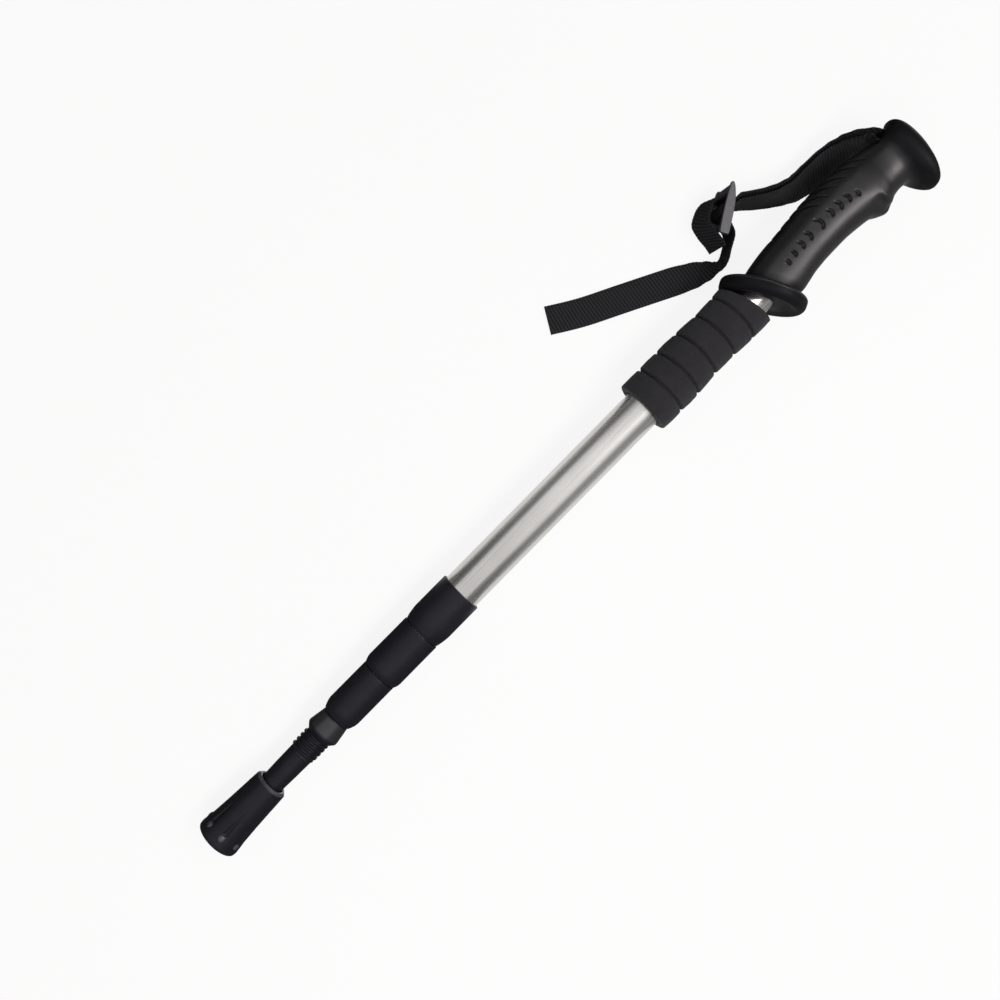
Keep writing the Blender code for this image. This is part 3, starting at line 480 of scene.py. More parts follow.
def pointsOf(mesh, kind="co"):
    flat = np.empty(len(mesh.vertices) * 3)
    mesh.vertices.foreach_get(kind, flat)
    return flat.reshape(-1, 3)


def movePoints(mesh, shift):
    # shift gets the points and normals as arrays and gives the points' new places
    moved = shift(pointsOf(mesh), pointsOf(mesh, "normal"))
    mesh.vertices.foreach_set("co", np.ascontiguousarray(moved, dtype=float).ravel())
    mesh.update()
    return mesh


def setValues(mesh, name, values):
    # one number a point, which a finish reads by the attribute's name
    mesh.attributes.new(name, "FLOAT", "POINT").data.foreach_set("value", values)


# Tubes, sheaths and the tip

tubes = dict(
    radius=dict(upper=10.0, second=9.0, third=8.0, lower=7.0), wall=0.7,
    low=dict(upper=146.6, second=117.7, third=88.1, lower=85.5),
    top=dict(upper=462.0, second=424.0, third=376.0, lower=328.0),
    body=dict(upper="handle", second="second_section", third="third_section",
              lower="lower_section"))


def makeTube(key):
    # drawn tube with its cut ends deburred
    r, low, top = tubes["radius"][key], tubes["low"][key], tubes["top"][key]
    inner = r - tubes["wall"]
    outline = roundCorners([(top, r, 0.2), (low, r, 0.2), (low, inner, 0.2), (top, inner, 0.2)])
    mesh = lathe(key + "Tube", outline, 160)
    setPiece("tube_" + key, mesh, shaftFrame, "tube", tubes["body"][key],
             [key + "_tube"], 40)


sheaths = dict(
    lip=dict(upper=10.2, second=9.7, third=8.2), radius=dict(upper=11.3, second=10.5, third=9.5),
    ends=dict(upper=(144.0, 171.6), second=(115.1, 143.7), third=(85.5, 114.8)),
    shoulder=dict(upper=8.0, second=3.4, third=5.0), lipLength=2.2, gap=0.2,
    ribs=40, ribDepth=0.07)


def makeSheath(key):
    # sleeve with a rounded shoulder at its low end and fine lengthwise ribs
    low, top = sheaths["ends"][key]
    lip, r, shoulder = (sheaths[name][key] for name in ("lip", "radius", "shoulder"))
    seat = tubes["radius"][key] + sheaths["gap"]
    guide = tubes["radius"][key] - tubes["wall"]
    rise = [(low + 0.5 + shoulder * t, lip + (r - lip) * math.sin(t * math.pi / 2))
            for t in (1.0, 0.85, 0.7, 0.55, 0.4, 0.25, 0.1)]
    outer = [(top, r - 0.05, 0.35)] + rise + [(low, lip - 0.25, 0.45)]
    lipEnd = low + sheaths["lipLength"]
    bore = [(low, guide, 0.3), (lipEnd, guide, 0.1), (lipEnd, seat), (top, seat, 0.15)]
    outline = splitLong(roundCorners(outer + bore), 1.0)

    def ribbed(x, r, turn):
        share = smoothStep(low + shoulder, low + shoulder + 3, x) * smoothStep(top - 1, top - 3, x)
        skin = r > seat + 0.4
        wave = 0.5 - 0.5 * np.cos(turn * sheaths["ribs"])
        return x, r - sheaths["ribDepth"] * share * skin * wave**3

    mesh = lathe(key + "Sheath", outline, 240, warp=ribbed)
    setPiece("sheath_" + key, mesh, shaftFrame, "sheath", tubes["body"][key],
             [key + "_sheath"], 40)


tip = dict(
    collarTop=85.2, low=13.6, thread=(61.2, 72.4), pitch=2.65, core=6.45, crest=7.2,
    pinRadius=2.6, seat=2.8, spigot=6.1)


def makeTip():
    # one moulding: spigot, conical collar, basket thread and slim ferrule
    end = tip["collarTop"]
    threadLow, threadTop = tip["thread"]
    outer = [(end + 21, 0), (end + 21, tip["spigot"] - 0.2, 0.6), (end, tip["spigot"]),
             (end, 7.25, 0.15), (end - 0.7, 7.55, 0.3), (76.6, 8.85, 0.5), (75.3, 8.85, 0.5),
             (threadTop + 0.8, 7.2, 0.6), (threadTop, tip["core"], 0.3),
             (threadLow - 1.2, 6.35, 0.5), (50.0, 6.2, 1.0), (44.0, 6.0, 1.0), (30.0, 5.8, 2.0),
             (tip["low"], 5.3, 0.5), (tip["low"], tip["seat"], 0.2),
             (tip["low"] + 9, tip["seat"]), (tip["low"] + 9, 0)]
    outline = splitLong(roundCorners(outer, closed=False), 0.22, closed=False)

    def threaded(x, r, turn):
        # a buttress thread with one start, fading out at both ends
        phase = ((x - threadLow) / tip["pitch"] - turn / math.tau) % 1.0
        rise = smoothStep(0.12, 0.34, phase) * (1 - smoothStep(0.62, 0.74, phase))
        share = smoothStep(threadLow - 1.0, threadLow + 1.0, x)
        share *= 1 - smoothStep(threadTop - 0.9, threadTop + 0.1, x)
        skin = np.abs(r - tip["core"]) < 0.2
        return x, r + (tip["crest"] - tip["core"]) * rise * share * skin

    mesh = lathe("tip", outline, 144, hollow=False, warp=threaded)
    setPiece("basket_tip", mesh, shaftFrame, "tip", "lower_section",
             ["tip_ferrule"], 50)
    pin = roundCorners([(tip["low"] + 8.7, 0), (tip["low"] + 8.7, tip["pinRadius"], 0.3),
                        (10.2, tip["pinRadius"], 0.4), (8.6, 1.9, 0.2), (7.9, 2.1, 0.2),
                        (7.6, 1.6, 0.3), (8.0, 0)], closed=False)
    setPiece("carbide_point", lathe("point", pin, 64, hollow=False), shaftFrame, "carbide",
             "lower_section", ["carbide_tip"], 40)


foot = dict(
    top=40.8, sole=2.2, radius=11.4, bore=6.5, flutes=7, turn=18.9, fluteFrom=9.4, fluteTo=27.0,
    fluteDepth=0.95, fluteWidth=1.5, nubAt=8.1, nubRadius=1.7, nubHeight=0.5)


def besideFlute(r, turn):
    # how far round the foot a point is from the middle of the nearest flute, in mm
    part = math.tau / foot["flutes"]
    return ((turn - math.radians(foot["turn"])) % part - part / 2) * r


def makeFoot():
    # push-on rubber foot with tapering flutes, and a small domed nub between each and the sole
    outer = [(foot["top"], 7.5, 0.25), (foot["top"] - 1.4, 8.78, 0.5), (36.0, 9.0, 2.0),
             (30.0, 9.3, 3.0), (20.0, 9.85, 4.0), (10.0, 10.6, 4.0), (7.0, 11.05, 2.0),
             (4.0, foot["radius"], 0.8), (foot["sole"], 11.2, 0.6), (foot["sole"], 9.6, 0.3),
             (foot["sole"] + 0.5, 9.2, 0.3), (foot["sole"] + 0.5, 0)]
    bore = [(6.6, 0), (6.6, 3.6), (12.0, 3.6), (12.0, foot["bore"]),
            (foot["top"], foot["bore"], 0.3)]
    outline = splitLong(roundCorners(bore + outer, closed=False), 0.45, closed=False)

    def fluted(x, r, turn):
        off = besideFlute(r, turn)
        along = np.clip((x - foot["fluteFrom"]) / (foot["fluteTo"] - foot["fluteFrom"]), 0, 1)
        width = foot["fluteWidth"] * (1 - 0.8 * along) + 0.05
        hollow = np.clip(1 - (off / width)**2, 0, 1)
        depth = foot["fluteDepth"] * (1 - along)**0.9 * smoothStep(0, 0.075, along)
        skin = (r > 8.0) & (x > foot["fluteFrom"] - 0.5) & (x < foot["fluteTo"])
        dome = np.clip(1 - (np.hypot(x - foot["nubAt"], off) / foot["nubRadius"])**2, 0, 1)
        return x, r - depth * hollow * skin + foot["nubHeight"] * dome * (r > 8.0)

    mesh = lathe("foot", outline, 256, hollow=False, warp=fluted)
    # where the nubs stand, which the finish paints paler there as a painted highlight
    x, y, z = pointsOf(mesh).T
    r = np.hypot(y, z)
    far = np.hypot(x - foot["nubAt"], besideFlute(r, np.arctan2(z, y)))
    setValues(mesh, "nub", np.clip((foot["nubRadius"] - far) * 3.0, 0, 1) * (r > 9.0))
    setPiece("push_on_foot", mesh, shaftFrame, "foot", "foot", ["rubber_foot"], 50)
    washer = roundCorners([(13.3, 6.2, 0.15), (12.3, 6.2, 0.15), (12.3, 3.0, 0.1),
                           (13.3, 3.0, 0.1)])
    setPiece("washer_in_foot", lathe("washer", washer, 96), shaftFrame, "steel", "foot",
             ["foot_washer"], 40)


for key in ("upper", "second", "third", "lower"):
    makeTube(key)
for key in ("upper", "second", "third"):
    makeSheath(key)
makeTip()
makeFoot()
print("tubes, sheaths, tip and foot made")


# Twist locks

locks = dict(
    stud=dict(second=3.0, third=3.0, lower=2.5), plugDepth=14.0, plugLip=2.0, below=11.0,
    above=34.0, fit=0.3, press=0.2, expanderEnd=31.0, pitch=1.0, threadDepth=0.45, stop=2.4)


def makeLock(key):
    # end plug, threaded stud and stop ring on the inner tube; its expander and nut are CAD nodes
    top, stud = tubes["top"][key], locks["stud"][key]
    section = tubes["body"][key]
    hole = stud + locks["press"]
    inside = tubes["radius"][key] - tubes["wall"] - locks["press"]
    rim = tubes["radius"][key] - 0.1
    face, deep = top + locks["press"], top - locks["plugDepth"]
    lip = face + locks["plugLip"]
    plug = roundCorners([(lip, rim, 0.5), (face, rim, 0.1), (face, inside, 0.1),
                         (deep, inside, 0.6), (deep, hole, 0.2), (lip, hole, 0.3)])
    setPiece("plug_" + key, lathe("plug", plug, 96), shaftFrame, "nylon", section,
             [key + "_end_plug"], 40)
    high, low = top + locks["above"], top - locks["below"]
    rod = splitLong(roundCorners([(high, 0), (high, stud, 0.5), (low, stud, 0.5), (low, 0)],
                                 closed=False), 0.12, closed=False)

    def threaded(x, r, turn):
        phase = ((x - low) / locks["pitch"] - turn / math.tau) % 1.0
        share = smoothStep(low, low + 1, x) * (1 - smoothStep(high - 1, high, x))
        return x, r - locks["threadDepth"] * share * np.abs(2 * phase - 1) * (r > stud - 0.1)

    setPiece("stud_" + key, lathe("stud", rod, 48, False, threaded), shaftFrame, "steel",
             section, [key + "_stud"], 60)
    start = top + locks["expanderEnd"] + locks["fit"]
    end = start + locks["stop"]
    ring = roundCorners([(end, stud + 1.8, 0.3), (start, stud + 2.2, 0.2), (start, hole, 0.1),
                         (end, hole, 0.1)])
    setPiece("stop_" + key, lathe("stop", ring, 64), shaftFrame, "steel", section,
             [key + "_stop_ring"], 40)


def finishNode(node, look):
    # a CAD node that stays as it is gets its finish
    mesh = frame["nodes"][node].data
    mesh.materials.clear()
    mesh.materials.append(finishes[look])


for key in ("second", "third", "lower"):
    makeLock(key)
    finishNode(key + "_expander", "nylon")
    finishNode(key + "_cone_nut", "steel")
finishNode("strap_pin", "steel")
print("twist locks made")


# Foam sleeve

foam = dict(
    edges=[297.3, 309.6, 321.4, 334.1, 346.9, 359.1, 372.8], groove=1.4, depth=2.0, edge=1.2,
    seat=10.2, trimX=367.3, trimLean=math.radians(13.0),
    waist=[(297.0, 14.6), (320.0, 14.65), (330.0, 14.2), (343.0, 13.7), (352.0, 13.8),
           (361.0, 14.3), (373.0, 14.4)],
    bend=[(297.0, 0.0), (322.0, 0.0), (336.0, 0.4), (348.0, 0.0), (357.0, -0.4), (368.0, 0.0)])


def smoothValue(xs, ys, x):
    # monotone cubic curve through the points, so that it never bulges past them
    if x <= xs[0]:
        return ys[0]
    if x >= xs[-1]:
        return ys[-1]
    last = len(xs) - 1
    k = max(i for i in range(last) if xs[i] <= x)

    def slope(i):
        return (ys[i + 1] - ys[i]) / (xs[i + 1] - xs[i])

    def tangent(i):
        if i in (0, last):
            return slope(0 if i == 0 else last - 1)
        before, after = slope(i - 1), slope(i)
        return 0.0 if before * after <= 0 else 2 * before * after / (before + after)

    h = xs[k + 1] - xs[k]
    t = (x - xs[k]) / h
    return ((2 * t**3 - 3 * t**2 + 1) * ys[k] + (t**3 - 2 * t**2 + t) * h * tangent(k)
            + (3 * t**2 - 2 * t**3) * ys[k + 1] + (t**3 - t**2) * h * tangent(k + 1))


def makeFoam():
    # six soft segments, trimmed at a slant towards the hand flange
    xs, rs = zip(*foam["waist"])
    corners = []
    start, end = foam["edges"][0], foam["edges"][-1]
    for low, high in reversed(list(zip(foam["edges"], foam["edges"][1:]))):
        topEdge = high if high == end else high - foam["groove"] / 2
        lowEdge = low if low == start else low + foam["groove"] / 2
        middle = (topEdge + lowEdge) / 2
        corners += [(topEdge, smoothValue(xs, rs, topEdge) - foam["depth"], 0.15),
                    (topEdge - 0.12, smoothValue(xs, rs, topEdge) - 0.1, foam["edge"]),
                    (middle, smoothValue(xs, rs, middle) + 0.1, 4.0),
                    (lowEdge + 0.12, smoothValue(xs, rs, lowEdge) - 0.1, foam["edge"]),
                    (lowEdge, smoothValue(xs, rs, lowEdge) - foam["depth"], 0.15)]
    bore = [(start, foam["seat"], 0.3), (end, foam["seat"], 0.3)]
    outline = splitLong(roundCorners(corners + bore, arcSteps=6), 0.6)

    def uneven(x, r, turn):
        # hand-worn foam is never quite round
        swell = (0.10 * np.sin(3 * turn + x * 0.07) + 0.07 * np.sin(5 * turn - x * 0.19 + 1.3)
                 + 0.05 * np.sin(11 * turn + x * 0.41))
        sway = np.interp(x, *zip(*foam["bend"])) * np.cos(turn)
        skin = r > foam["seat"] + 0.6
        return x + 0.12 * np.sin(2 * turn + x * 0.13), r + (swell + sway) * skin

    mesh = lathe("foam", outline, 200, warp=uneven)
    normal = Vector((math.cos(foam["trimLean"]), math.sin(foam["trimLean"]), 0))

    def trimmed(bm):
        everything = bm.verts[:] + bm.edges[:] + bm.faces[:]
        result = bmesh.ops.bisect_plane(bm, geom=everything, clear_outer=True, plane_no=normal,
                                        plane_co=Vector((foam["trimX"], 0, 0)))
        edges = [e for e in result["geom_cut"] if isinstance(e, bmesh.types.BMEdge)]
        bmesh.ops.triangle_fill(bm, edges=edges, use_beauty=True)

    sleeve = setPiece("foam_grip_sleeve", edited(mesh, trimmed), shaftFrame, "foam", "handle",
                      ["foam_sleeve"], 50)


makeFoam()
print("foam sleeve made")


# Grip

grip = dict(
    # x on the shaft's axis, lean in degrees, reach to the back and to the front, half depth
    sections=[
        (375.7, 27, 11.5, 15.5, 12.9), (381.5, 24, 11.0, 16.5, 12.9), (387.5, 18, 11.8, 16.2, 12.9),
        (395.0, 11, 12.7, 14.8, 13.1), (403.0, 5, 13.2, 13.3, 13.4), (413.0, 0, 14.3, 12.5, 13.8),
        (424.0, 0, 15.2, 12.3, 14.0), (435.0, 0, 15.4, 13.2, 14.0), (441.0, 0, 15.2, 14.1, 13.9),
        (445.0, 0, 15.0, 16.4, 13.7), (448.6, 0, 14.8, 17.8, 13.5), (452.4, 0, 14.3, 16.5, 13.2),
        (456.5, 0, 13.5, 14.6, 12.8), (461.0, 0, 12.5, 14.0, 12.6), (464.0, 0, 11.8, 14.1, 12.7),
        (466.3, 0, 11.5, 14.9, 13.0), (468.2, 0, 11.6, 17.2, 13.6), (470.0, 0, 11.9, 21.0, 14.6),
        (471.8, 0, 12.2, 23.8, 15.5), (474.0, 0, 12.6, 25.6, 16.0), (476.4, 0, 13.0, 25.2, 15.9),
        (478.6, 0, 13.3, 22.6, 14.8), (480.4, 0, 13.2, 18.8, 12.6), (482.5, 0, 12.0, 13.6, 9.4),
        (484.0, 0, 9.4, 9.0, 6.0), (484.6, 0, 5.5, 5.0, 3.6)],
    squareness=2.25, ringGap=0.8, steps=128, voxel=0.36, smoothing=5, bore=10.2, boreEnd=462.5,
    grooves=[400.6, 406.6, 412.7, 418.6, 425.0, 431.4, 438.6, 444.6], sweep=10.5,
    grooveTurn=math.radians(56.0), grooveWidth=1.6, grooveDepth=0.9, grooveSteep=1.4,
    # the first grooves are shorter, and each is laid out in short lines and slims to its ends
    shortGrooves=2, shortShare=0.55, grooveLines=13, grooveSlimming=0.65,
    # the hollow beside the finger ridge: where it sinks and ends at a height of 10, how its end
    # leans with the height, its depth, and how it fades to the back and to the outline
    hollow=dict(sink=(440.0, 447.2), end=(447.4, 450.6), lean=0.47, depth=1.3,
                front=(-6.5, -12.5), side=(1.0, 5.0)),
    # x, y and height of each crescent, from the tip's side to the head
    crescents=[(393.4, 0.0, 3.3), (398.3, 1.0, 3.8), (403.6, 1.5, 4.9), (409.0, 2.0, 5.4),
               (416.7, 2.4, 6.7), (424.0, 2.4, 4.9), (429.4, 2.0, 5.4), (434.7, 1.5, 4.9),
               (439.6, -0.5, 3.3)],
    # its ends fade between two turns in degrees from its middle, and it lies in a faint dish
    crescentDepth=0.9, crescentStroke=0.8, crescentEnds=(48, 84), crescentDish=0.12)


def gripPoint(x, turn):
    # turn 0 is the middle of the back, a quarter turn the upper side
    xs = [s[0] for s in grip["sections"]]
    lean, back, front, depth = (smoothValue(xs, [s[k] for s in grip["sections"]], x)
                                for k in range(1, 5))
    c, s = np.cos(turn), np.sin(turn)
    power = 2 / grip["squareness"]
    reach = np.where(c > 0, back, front) * np.abs(c)**power * np.sign(c)
    rise = depth * np.abs(s)**power * np.sign(s)
    a = math.radians(lean)
    return np.stack([x - math.sin(a) * reach, math.cos(a) * reach, rise], -1)


def gripBlank():
    # the handle's loft, with rings close enough for its curves
    xs = []
    for near, far in zip(grip["sections"], grip["sections"][1:]):
        pieces = max(2, round((far[0] - near[0]) / grip["ringGap"]))
        xs += [near[0] + (far[0] - near[0]) * i / pieces for i in range(pieces)]
    xs.append(grip["sections"][-1][0])
    turns = (np.arange(grip["steps"]) + 0.5) * math.tau / grip["steps"]
    return ringMesh("handle", [gripPoint(x, turns) for x in xs])


def flangeBlank():
    # a leaning disc, rounder on the side towards the tip, which is dished
    half, radius = flange["thick"] / 2, flange["radius"]
    headEdge, tipEdge = flange["headEdge"], flange["tipEdge"]
    rim, floor = radius - tipEdge, -half + flange["dish"]
    outline = [(half - 0.4, 0), (half - 0.4, rim - 5.0)]
    for x, edge, turns in ((half - headEdge, headEdge, (0, 0.5)),
                           (-half + tipEdge, tipEdge, (0.5, 1))):
        outline += [(x + edge * math.cos(a), radius - edge + edge * math.sin(a))
                    for a in np.linspace(*turns, 8) * math.pi]
    outline += [(floor, rim - 3.5), (floor, 0)]
    mesh = lathe("flange", splitLong(outline, 1.0, closed=False), 128, hollow=False)
    place = Matrix.Translation((*flange["centre"], 0))
    mesh.transform(place @ Matrix.Rotation(flange["lean"], 4, "Z"))
    return mesh


def boxBlank(low, high):
    def filled(bm):
        bmesh.ops.create_cube(bm, size=1.0)
        bmesh.ops.scale(bm, vec=[b - a for a, b in zip(low, high)], verts=bm.verts)
        bmesh.ops.translate(bm, vec=[(a + b) / 2 for a, b in zip(low, high)], verts=bm.verts)

    return edited(bpy.data.meshes.new("box"), filled)


def rodBlank(radius, low, high, place):
    def filled(bm):
        bmesh.ops.create_cone(bm, cap_ends=True, segments=48, radius1=radius, radius2=radius,
                              depth=high - low)
        bmesh.ops.translate(bm, vec=(0, 0, (low + high) / 2), verts=bm.verts)

    mesh = edited(bpy.data.meshes.new("rod"), filled)
    mesh.transform(place)
    return mesh


strap = dict(
    pin=(472.8, 7.0), pinRadius=2.0, width=15.0, thick=1.4, gap=0.3,
    pocket=((465.2, 3.0, -8.6), (480.2, 23.0, 8.6)))


def offLine(points, start, end):
    # how far each point is from a short line; what lies towards the head counts as farther out
    along = end - start
    t = np.clip(((points - start) @ along) / (along @ along), 0, 1)
    off = points - (start + t[:, None] * along)
    return np.linalg.norm(off, axis=1) * np.where(off[:, 0] > 0, grip["grooveSteep"], 1.0)


def grooved(spots):
    # how far each point sinks for the V grooves on the back
    depth = np.zeros(len(spots))
    lines = grip["grooveLines"]
    for k, apex in enumerate(grip["grooves"]):
        share = grip["shortShare"] if k < grip["shortGrooves"] else 1.0
        for side in (-1, 1):
            for t in np.linspace(0, 1, lines + 1)[:-1]:
                start, end = (gripPoint(apex + grip["sweep"] * share * s,
                                        side * s * share * grip["grooveTurn"])
                              for s in (t, t + 1 / lines))
                slim = 1 - grip["grooveSlimming"] * smoothStep(0.45, 1.0, t + 0.5 / lines)
                near = np.abs(spots[:, 0] - start[0]) < 4
                off = offLine(spots[near], start, end)
                wall = 1 - smoothStep(0.1, grip["grooveWidth"] * slim, off)
                depth[near] = np.maximum(depth[near], grip["grooveDepth"] * slim * wall)
    return depth


def carveGrip(spots, normals):
    # the V grooves, the crescents on the upper side and the hollow beside the finger ridge
    depth = grooved(spots)
    for x, y, height in grip["crescents"]:
        radius, stroke = height / 2, grip["crescentStroke"]
        dx, dy = spots[:, 0] - (x - 0.5 * radius), spots[:, 1] - y
        far = np.hypot(dx, dy) - radius
        pit = smoothStep(-2.2 * stroke, 0.0, far) * (1 - smoothStep(0.0, 0.7 * stroke, far))
        ends = 1 - smoothStep(*grip["crescentEnds"], np.degrees(np.abs(np.arctan2(dy, dx))))
        dish = grip["crescentDish"] * (1 - smoothStep(0.2 * radius, radius, far + radius))
        mark = grip["crescentDepth"] * pit * ends + dish
        depth = np.maximum(depth, mark * (spots[:, 2] > 0))
    hollow = grip["hollow"]
    y, z = spots[:, 1], np.abs(spots[:, 2])
    x = spots[:, 0] - (10 - z) * hollow["lean"]
    sunk = (smoothStep(*hollow["sink"], x) * (1 - smoothStep(*hollow["end"], x))
            * smoothStep(*hollow["front"], y) * smoothStep(*hollow["side"], z))
    depth = np.maximum(depth, hollow["depth"] * sunk)
    return spots - normals * depth[:, None]


def makeGrip():
    px, py = strap["pin"]
    pocket = boxBlank(*strap["pocket"])
    hole = rodBlank(strap["pinRadius"] + 0.2, -30.0, 10.8, Matrix.Translation((px, py, 0)))
    bore = rodBlank(grip["bore"], 340.0, grip["boreEnd"], Matrix.Rotation(math.pi / 2, 4, "Y"))
    solid = fused([gripBlank(), flangeBlank()], grip["voxel"], grip["smoothing"])
    solid = cut(solid, bore, pocket, hole)
    setValues(solid, "grooved", np.clip(grooved(pointsOf(solid)) / grip["grooveDepth"] * 5, 0, 1))
    solid = movePoints(solid, carveGrip)
    setPiece("moulded_grip", solid, shaftFrame, "grip", "handle", ["grip"], 50)


makeGrip()
print("grip made")


# Wrist strap, laid out in the floor's frame

buckle = dict(
    centre=(396.7, 40.2, 10.6), turn=math.radians(30.5), lean=math.radians(9.0), inside=15.8,
    rail=2.3, bars=[-0.2, -9.2], barRadius=1.5, voxel=0.16, smoothing=3,
    # across a rail: from its middle as a share of its thickness, and how far it is drawn in
    railRounding=[(-0.5, 0.93), (-0.44, 0.98), (-0.3, 1.0), (0.3, 1.0), (0.44, 0.98),
                  (0.5, 0.93)],
    # side view of a rail, blunt at the tail's end and drawn to a point at the other
    outline=[(-12.8, -2.2), (-12.0, -3.1), (-4.0, -3.0), (4.0, -2.4), (9.5, -1.1), (12.2, 0.0),
             (13.1, 1.0), (11.8, 1.9), (4.0, 2.3), (-4.0, 2.2), (-11.0, 1.8), (-12.8, 1.0)],
    # side view of the plate between the rails, which is lifted to let the strap slip
    lever=[(7.7, -0.5), (9.5, -0.9), (12.3, 0.5), (12.5, 1.1), (10.9, 1.6), (7.7, 1.7)])
weave = dict(rib=1.7, ribHeight=0.15, step=0.3, columns=26, edgeWave=0.1, slant=0.32)
floorUp, floorAway = Vector((0, 0, 1)), Vector((0, 1, 0))
toFloor = floorFrame.inverted() @ shaftFrame
shaftUp = (toFloor.to_3x3() @ floorUp).normalized()


def buckleAxes():
    u = Vector((math.cos(buckle["turn"]), math.sin(buckle["turn"]), 0))
    out = Vector((-u.y, u.x, 0))
    c, s = math.cos(buckle["lean"]), math.sin(buckle["lean"])
    return u, out * c + floorUp * s, floorUp * c - out * s


def atBuckle(along, out):
    u, v = buckleAxes()[:2]
    return Vector(buckle["centre"]) + u * along + v * out


def strapRoute():
    # stations of (point, width direction) from the sewn end to the free end
    w, up = buckleAxes()[2], shaftUp

    def leaning(degrees):
        # across the webbing where it leans away from the grip; upright is 90 degrees
        return Matrix.Rotation(math.radians(degrees), 3, "X") @ floorAway

    pin = toFloor @ Vector((*strap["pin"], 0))
    wrap = strap["pinRadius"] + 1.5 * strap["gap"] + strap["thick"] / 2
    middle = [(pin + Vector((-2.0, 3.8, 0)), up, wrap - 0.5),
              (Vector((469.7, 13.6, 23.0)), up, 2.0)]
    middle += [(Vector(spot), leaning(degrees), spread) for spot, degrees, spread in [
        ((467.0, 16.6, 19.6), 80, 1.9), ((463.4, 18.8, 14.6), 64, 1.8),
        ((458.0, 20.3, 10.6), 48, 1.8), ((450.9, 21.0, 8.6), 39, 1.8),
        ((441.7, 21.5, 8.0), 41, 1.8), ((433.2, 22.7, 8.3), 52, 1.8),
        ((427.4, 24.8, 8.7), 62, 1.7), ((421.6, 27.7, 9.0), 70, 1.7),
        ((415.2, 31.8, 9.2), 75, 1.6), ((407.7, 37.5, 9.6), 82, 1.6)]]
    innerLayer, outerLayer = [], []
    for i, (point, width, spread) in enumerate(middle):
        width = width.normalized()
        ahead = (middle[min(i + 1, len(middle) - 1)][0] - middle[max(i - 1, 0)][0]).normalized()
        out = width.cross(ahead).normalized()
        innerLayer.append((point + out * spread, width))
        outerLayer.append((point - out * spread, width))
    first, last = outerLayer[0][0] - pin, innerLayer[0][0] - pin
    begin, end = math.atan2(first.y, first.x), math.atan2(last.y, last.x)
    while end > begin:
        end -= math.tau
    turns = [begin + (end - begin) * i / 8 for i in range(1, 8)]
    around = [(pin + Vector((math.cos(a), math.sin(a), 0)) * wrap, up) for a in turns]
    # the sewn end leans out where it passes round the buckle
    sewnEnd = [(atBuckle(*spot), w + Vector((*lean, 0))) for spot, lean in [
        ((-18.4, -2.8), (0.22, -0.06)), ((-15.8, 0.0), (0.24, -0.08)),
        ((-12.4, 4.8), (0.27, -0.14)), ((-8.4, 9.0), (0.2, -0.22)), ((-2.0, 9.3), (0.08, -0.24)),
        ((3.0, 7.9), (0.0, -0.14)), ((5.6, 3.6), (0, 0)), ((6.1, 0.0), (0, 0)),
        ((7.0, -3.6), (0, 0))]]
    through = [(atBuckle(*p), w) for p in
               [(4.4, -4.2), (3.3, -1.6), (2.4, 1.4), (-0.2, 3.0), (-3.0, 1.5), (-4.0, -1.6),
                (-6.8, -4.6), (-10.4, -7.0)]]
    flat = Vector((-0.481, -0.877, 0))
    tail = [(Vector(spot), up * rise + flat * lean) for spot, rise, lean in [
        ((385.8, 25.2, 8.5), 0.96, 0.27), ((380.9, 22.6, 7.9), 0.95, 0.3),
        ((376.9, 22.9, 7.2), 0.88, 0.47), ((371.9, 25.1, 5.4), 0.64, 0.77),
        ((365.6, 28.8, 3.0), 0.3, 0.95), ((355.3, 34.5, 1.2), 0, 1), ((333.5, 45.5, 0.9), 0, 1),
        ((313.9, 55.3, 0.9), 0, 1), ((298.6, 64.6, 0.9), 0, 1)]]
    return sewnEnd + outerLayer[::-1] + around + innerLayer + through + tail


def fineRoute(stations, step):
    # a smooth curve through the stations, with points a step apart
    spots = [Vector(s[0]) for s in stations]
    widths = [s[1].normalized() for s in stations]
    points, across = [], []
    for i in range(len(spots) - 1):
        p0, p1 = spots[max(i - 1, 0)], spots[i]
        p2, p3 = spots[i + 1], spots[min(i + 2, len(spots) - 1)]
        count = max(1, round((p2 - p1).length / step))
        for k in range(count):
            t = k / count
            points.append(onCurve(p0, p1, p2, p3, t))
            across.append(widths[i].lerp(widths[i + 1], smoothStep(0, 1, t)).normalized())
    return np.array(points + [spots[-1]]), np.array(across + [widths[-1]])


def unit(vectors):
    return vectors / np.linalg.norm(vectors, axis=1, keepdims=True)


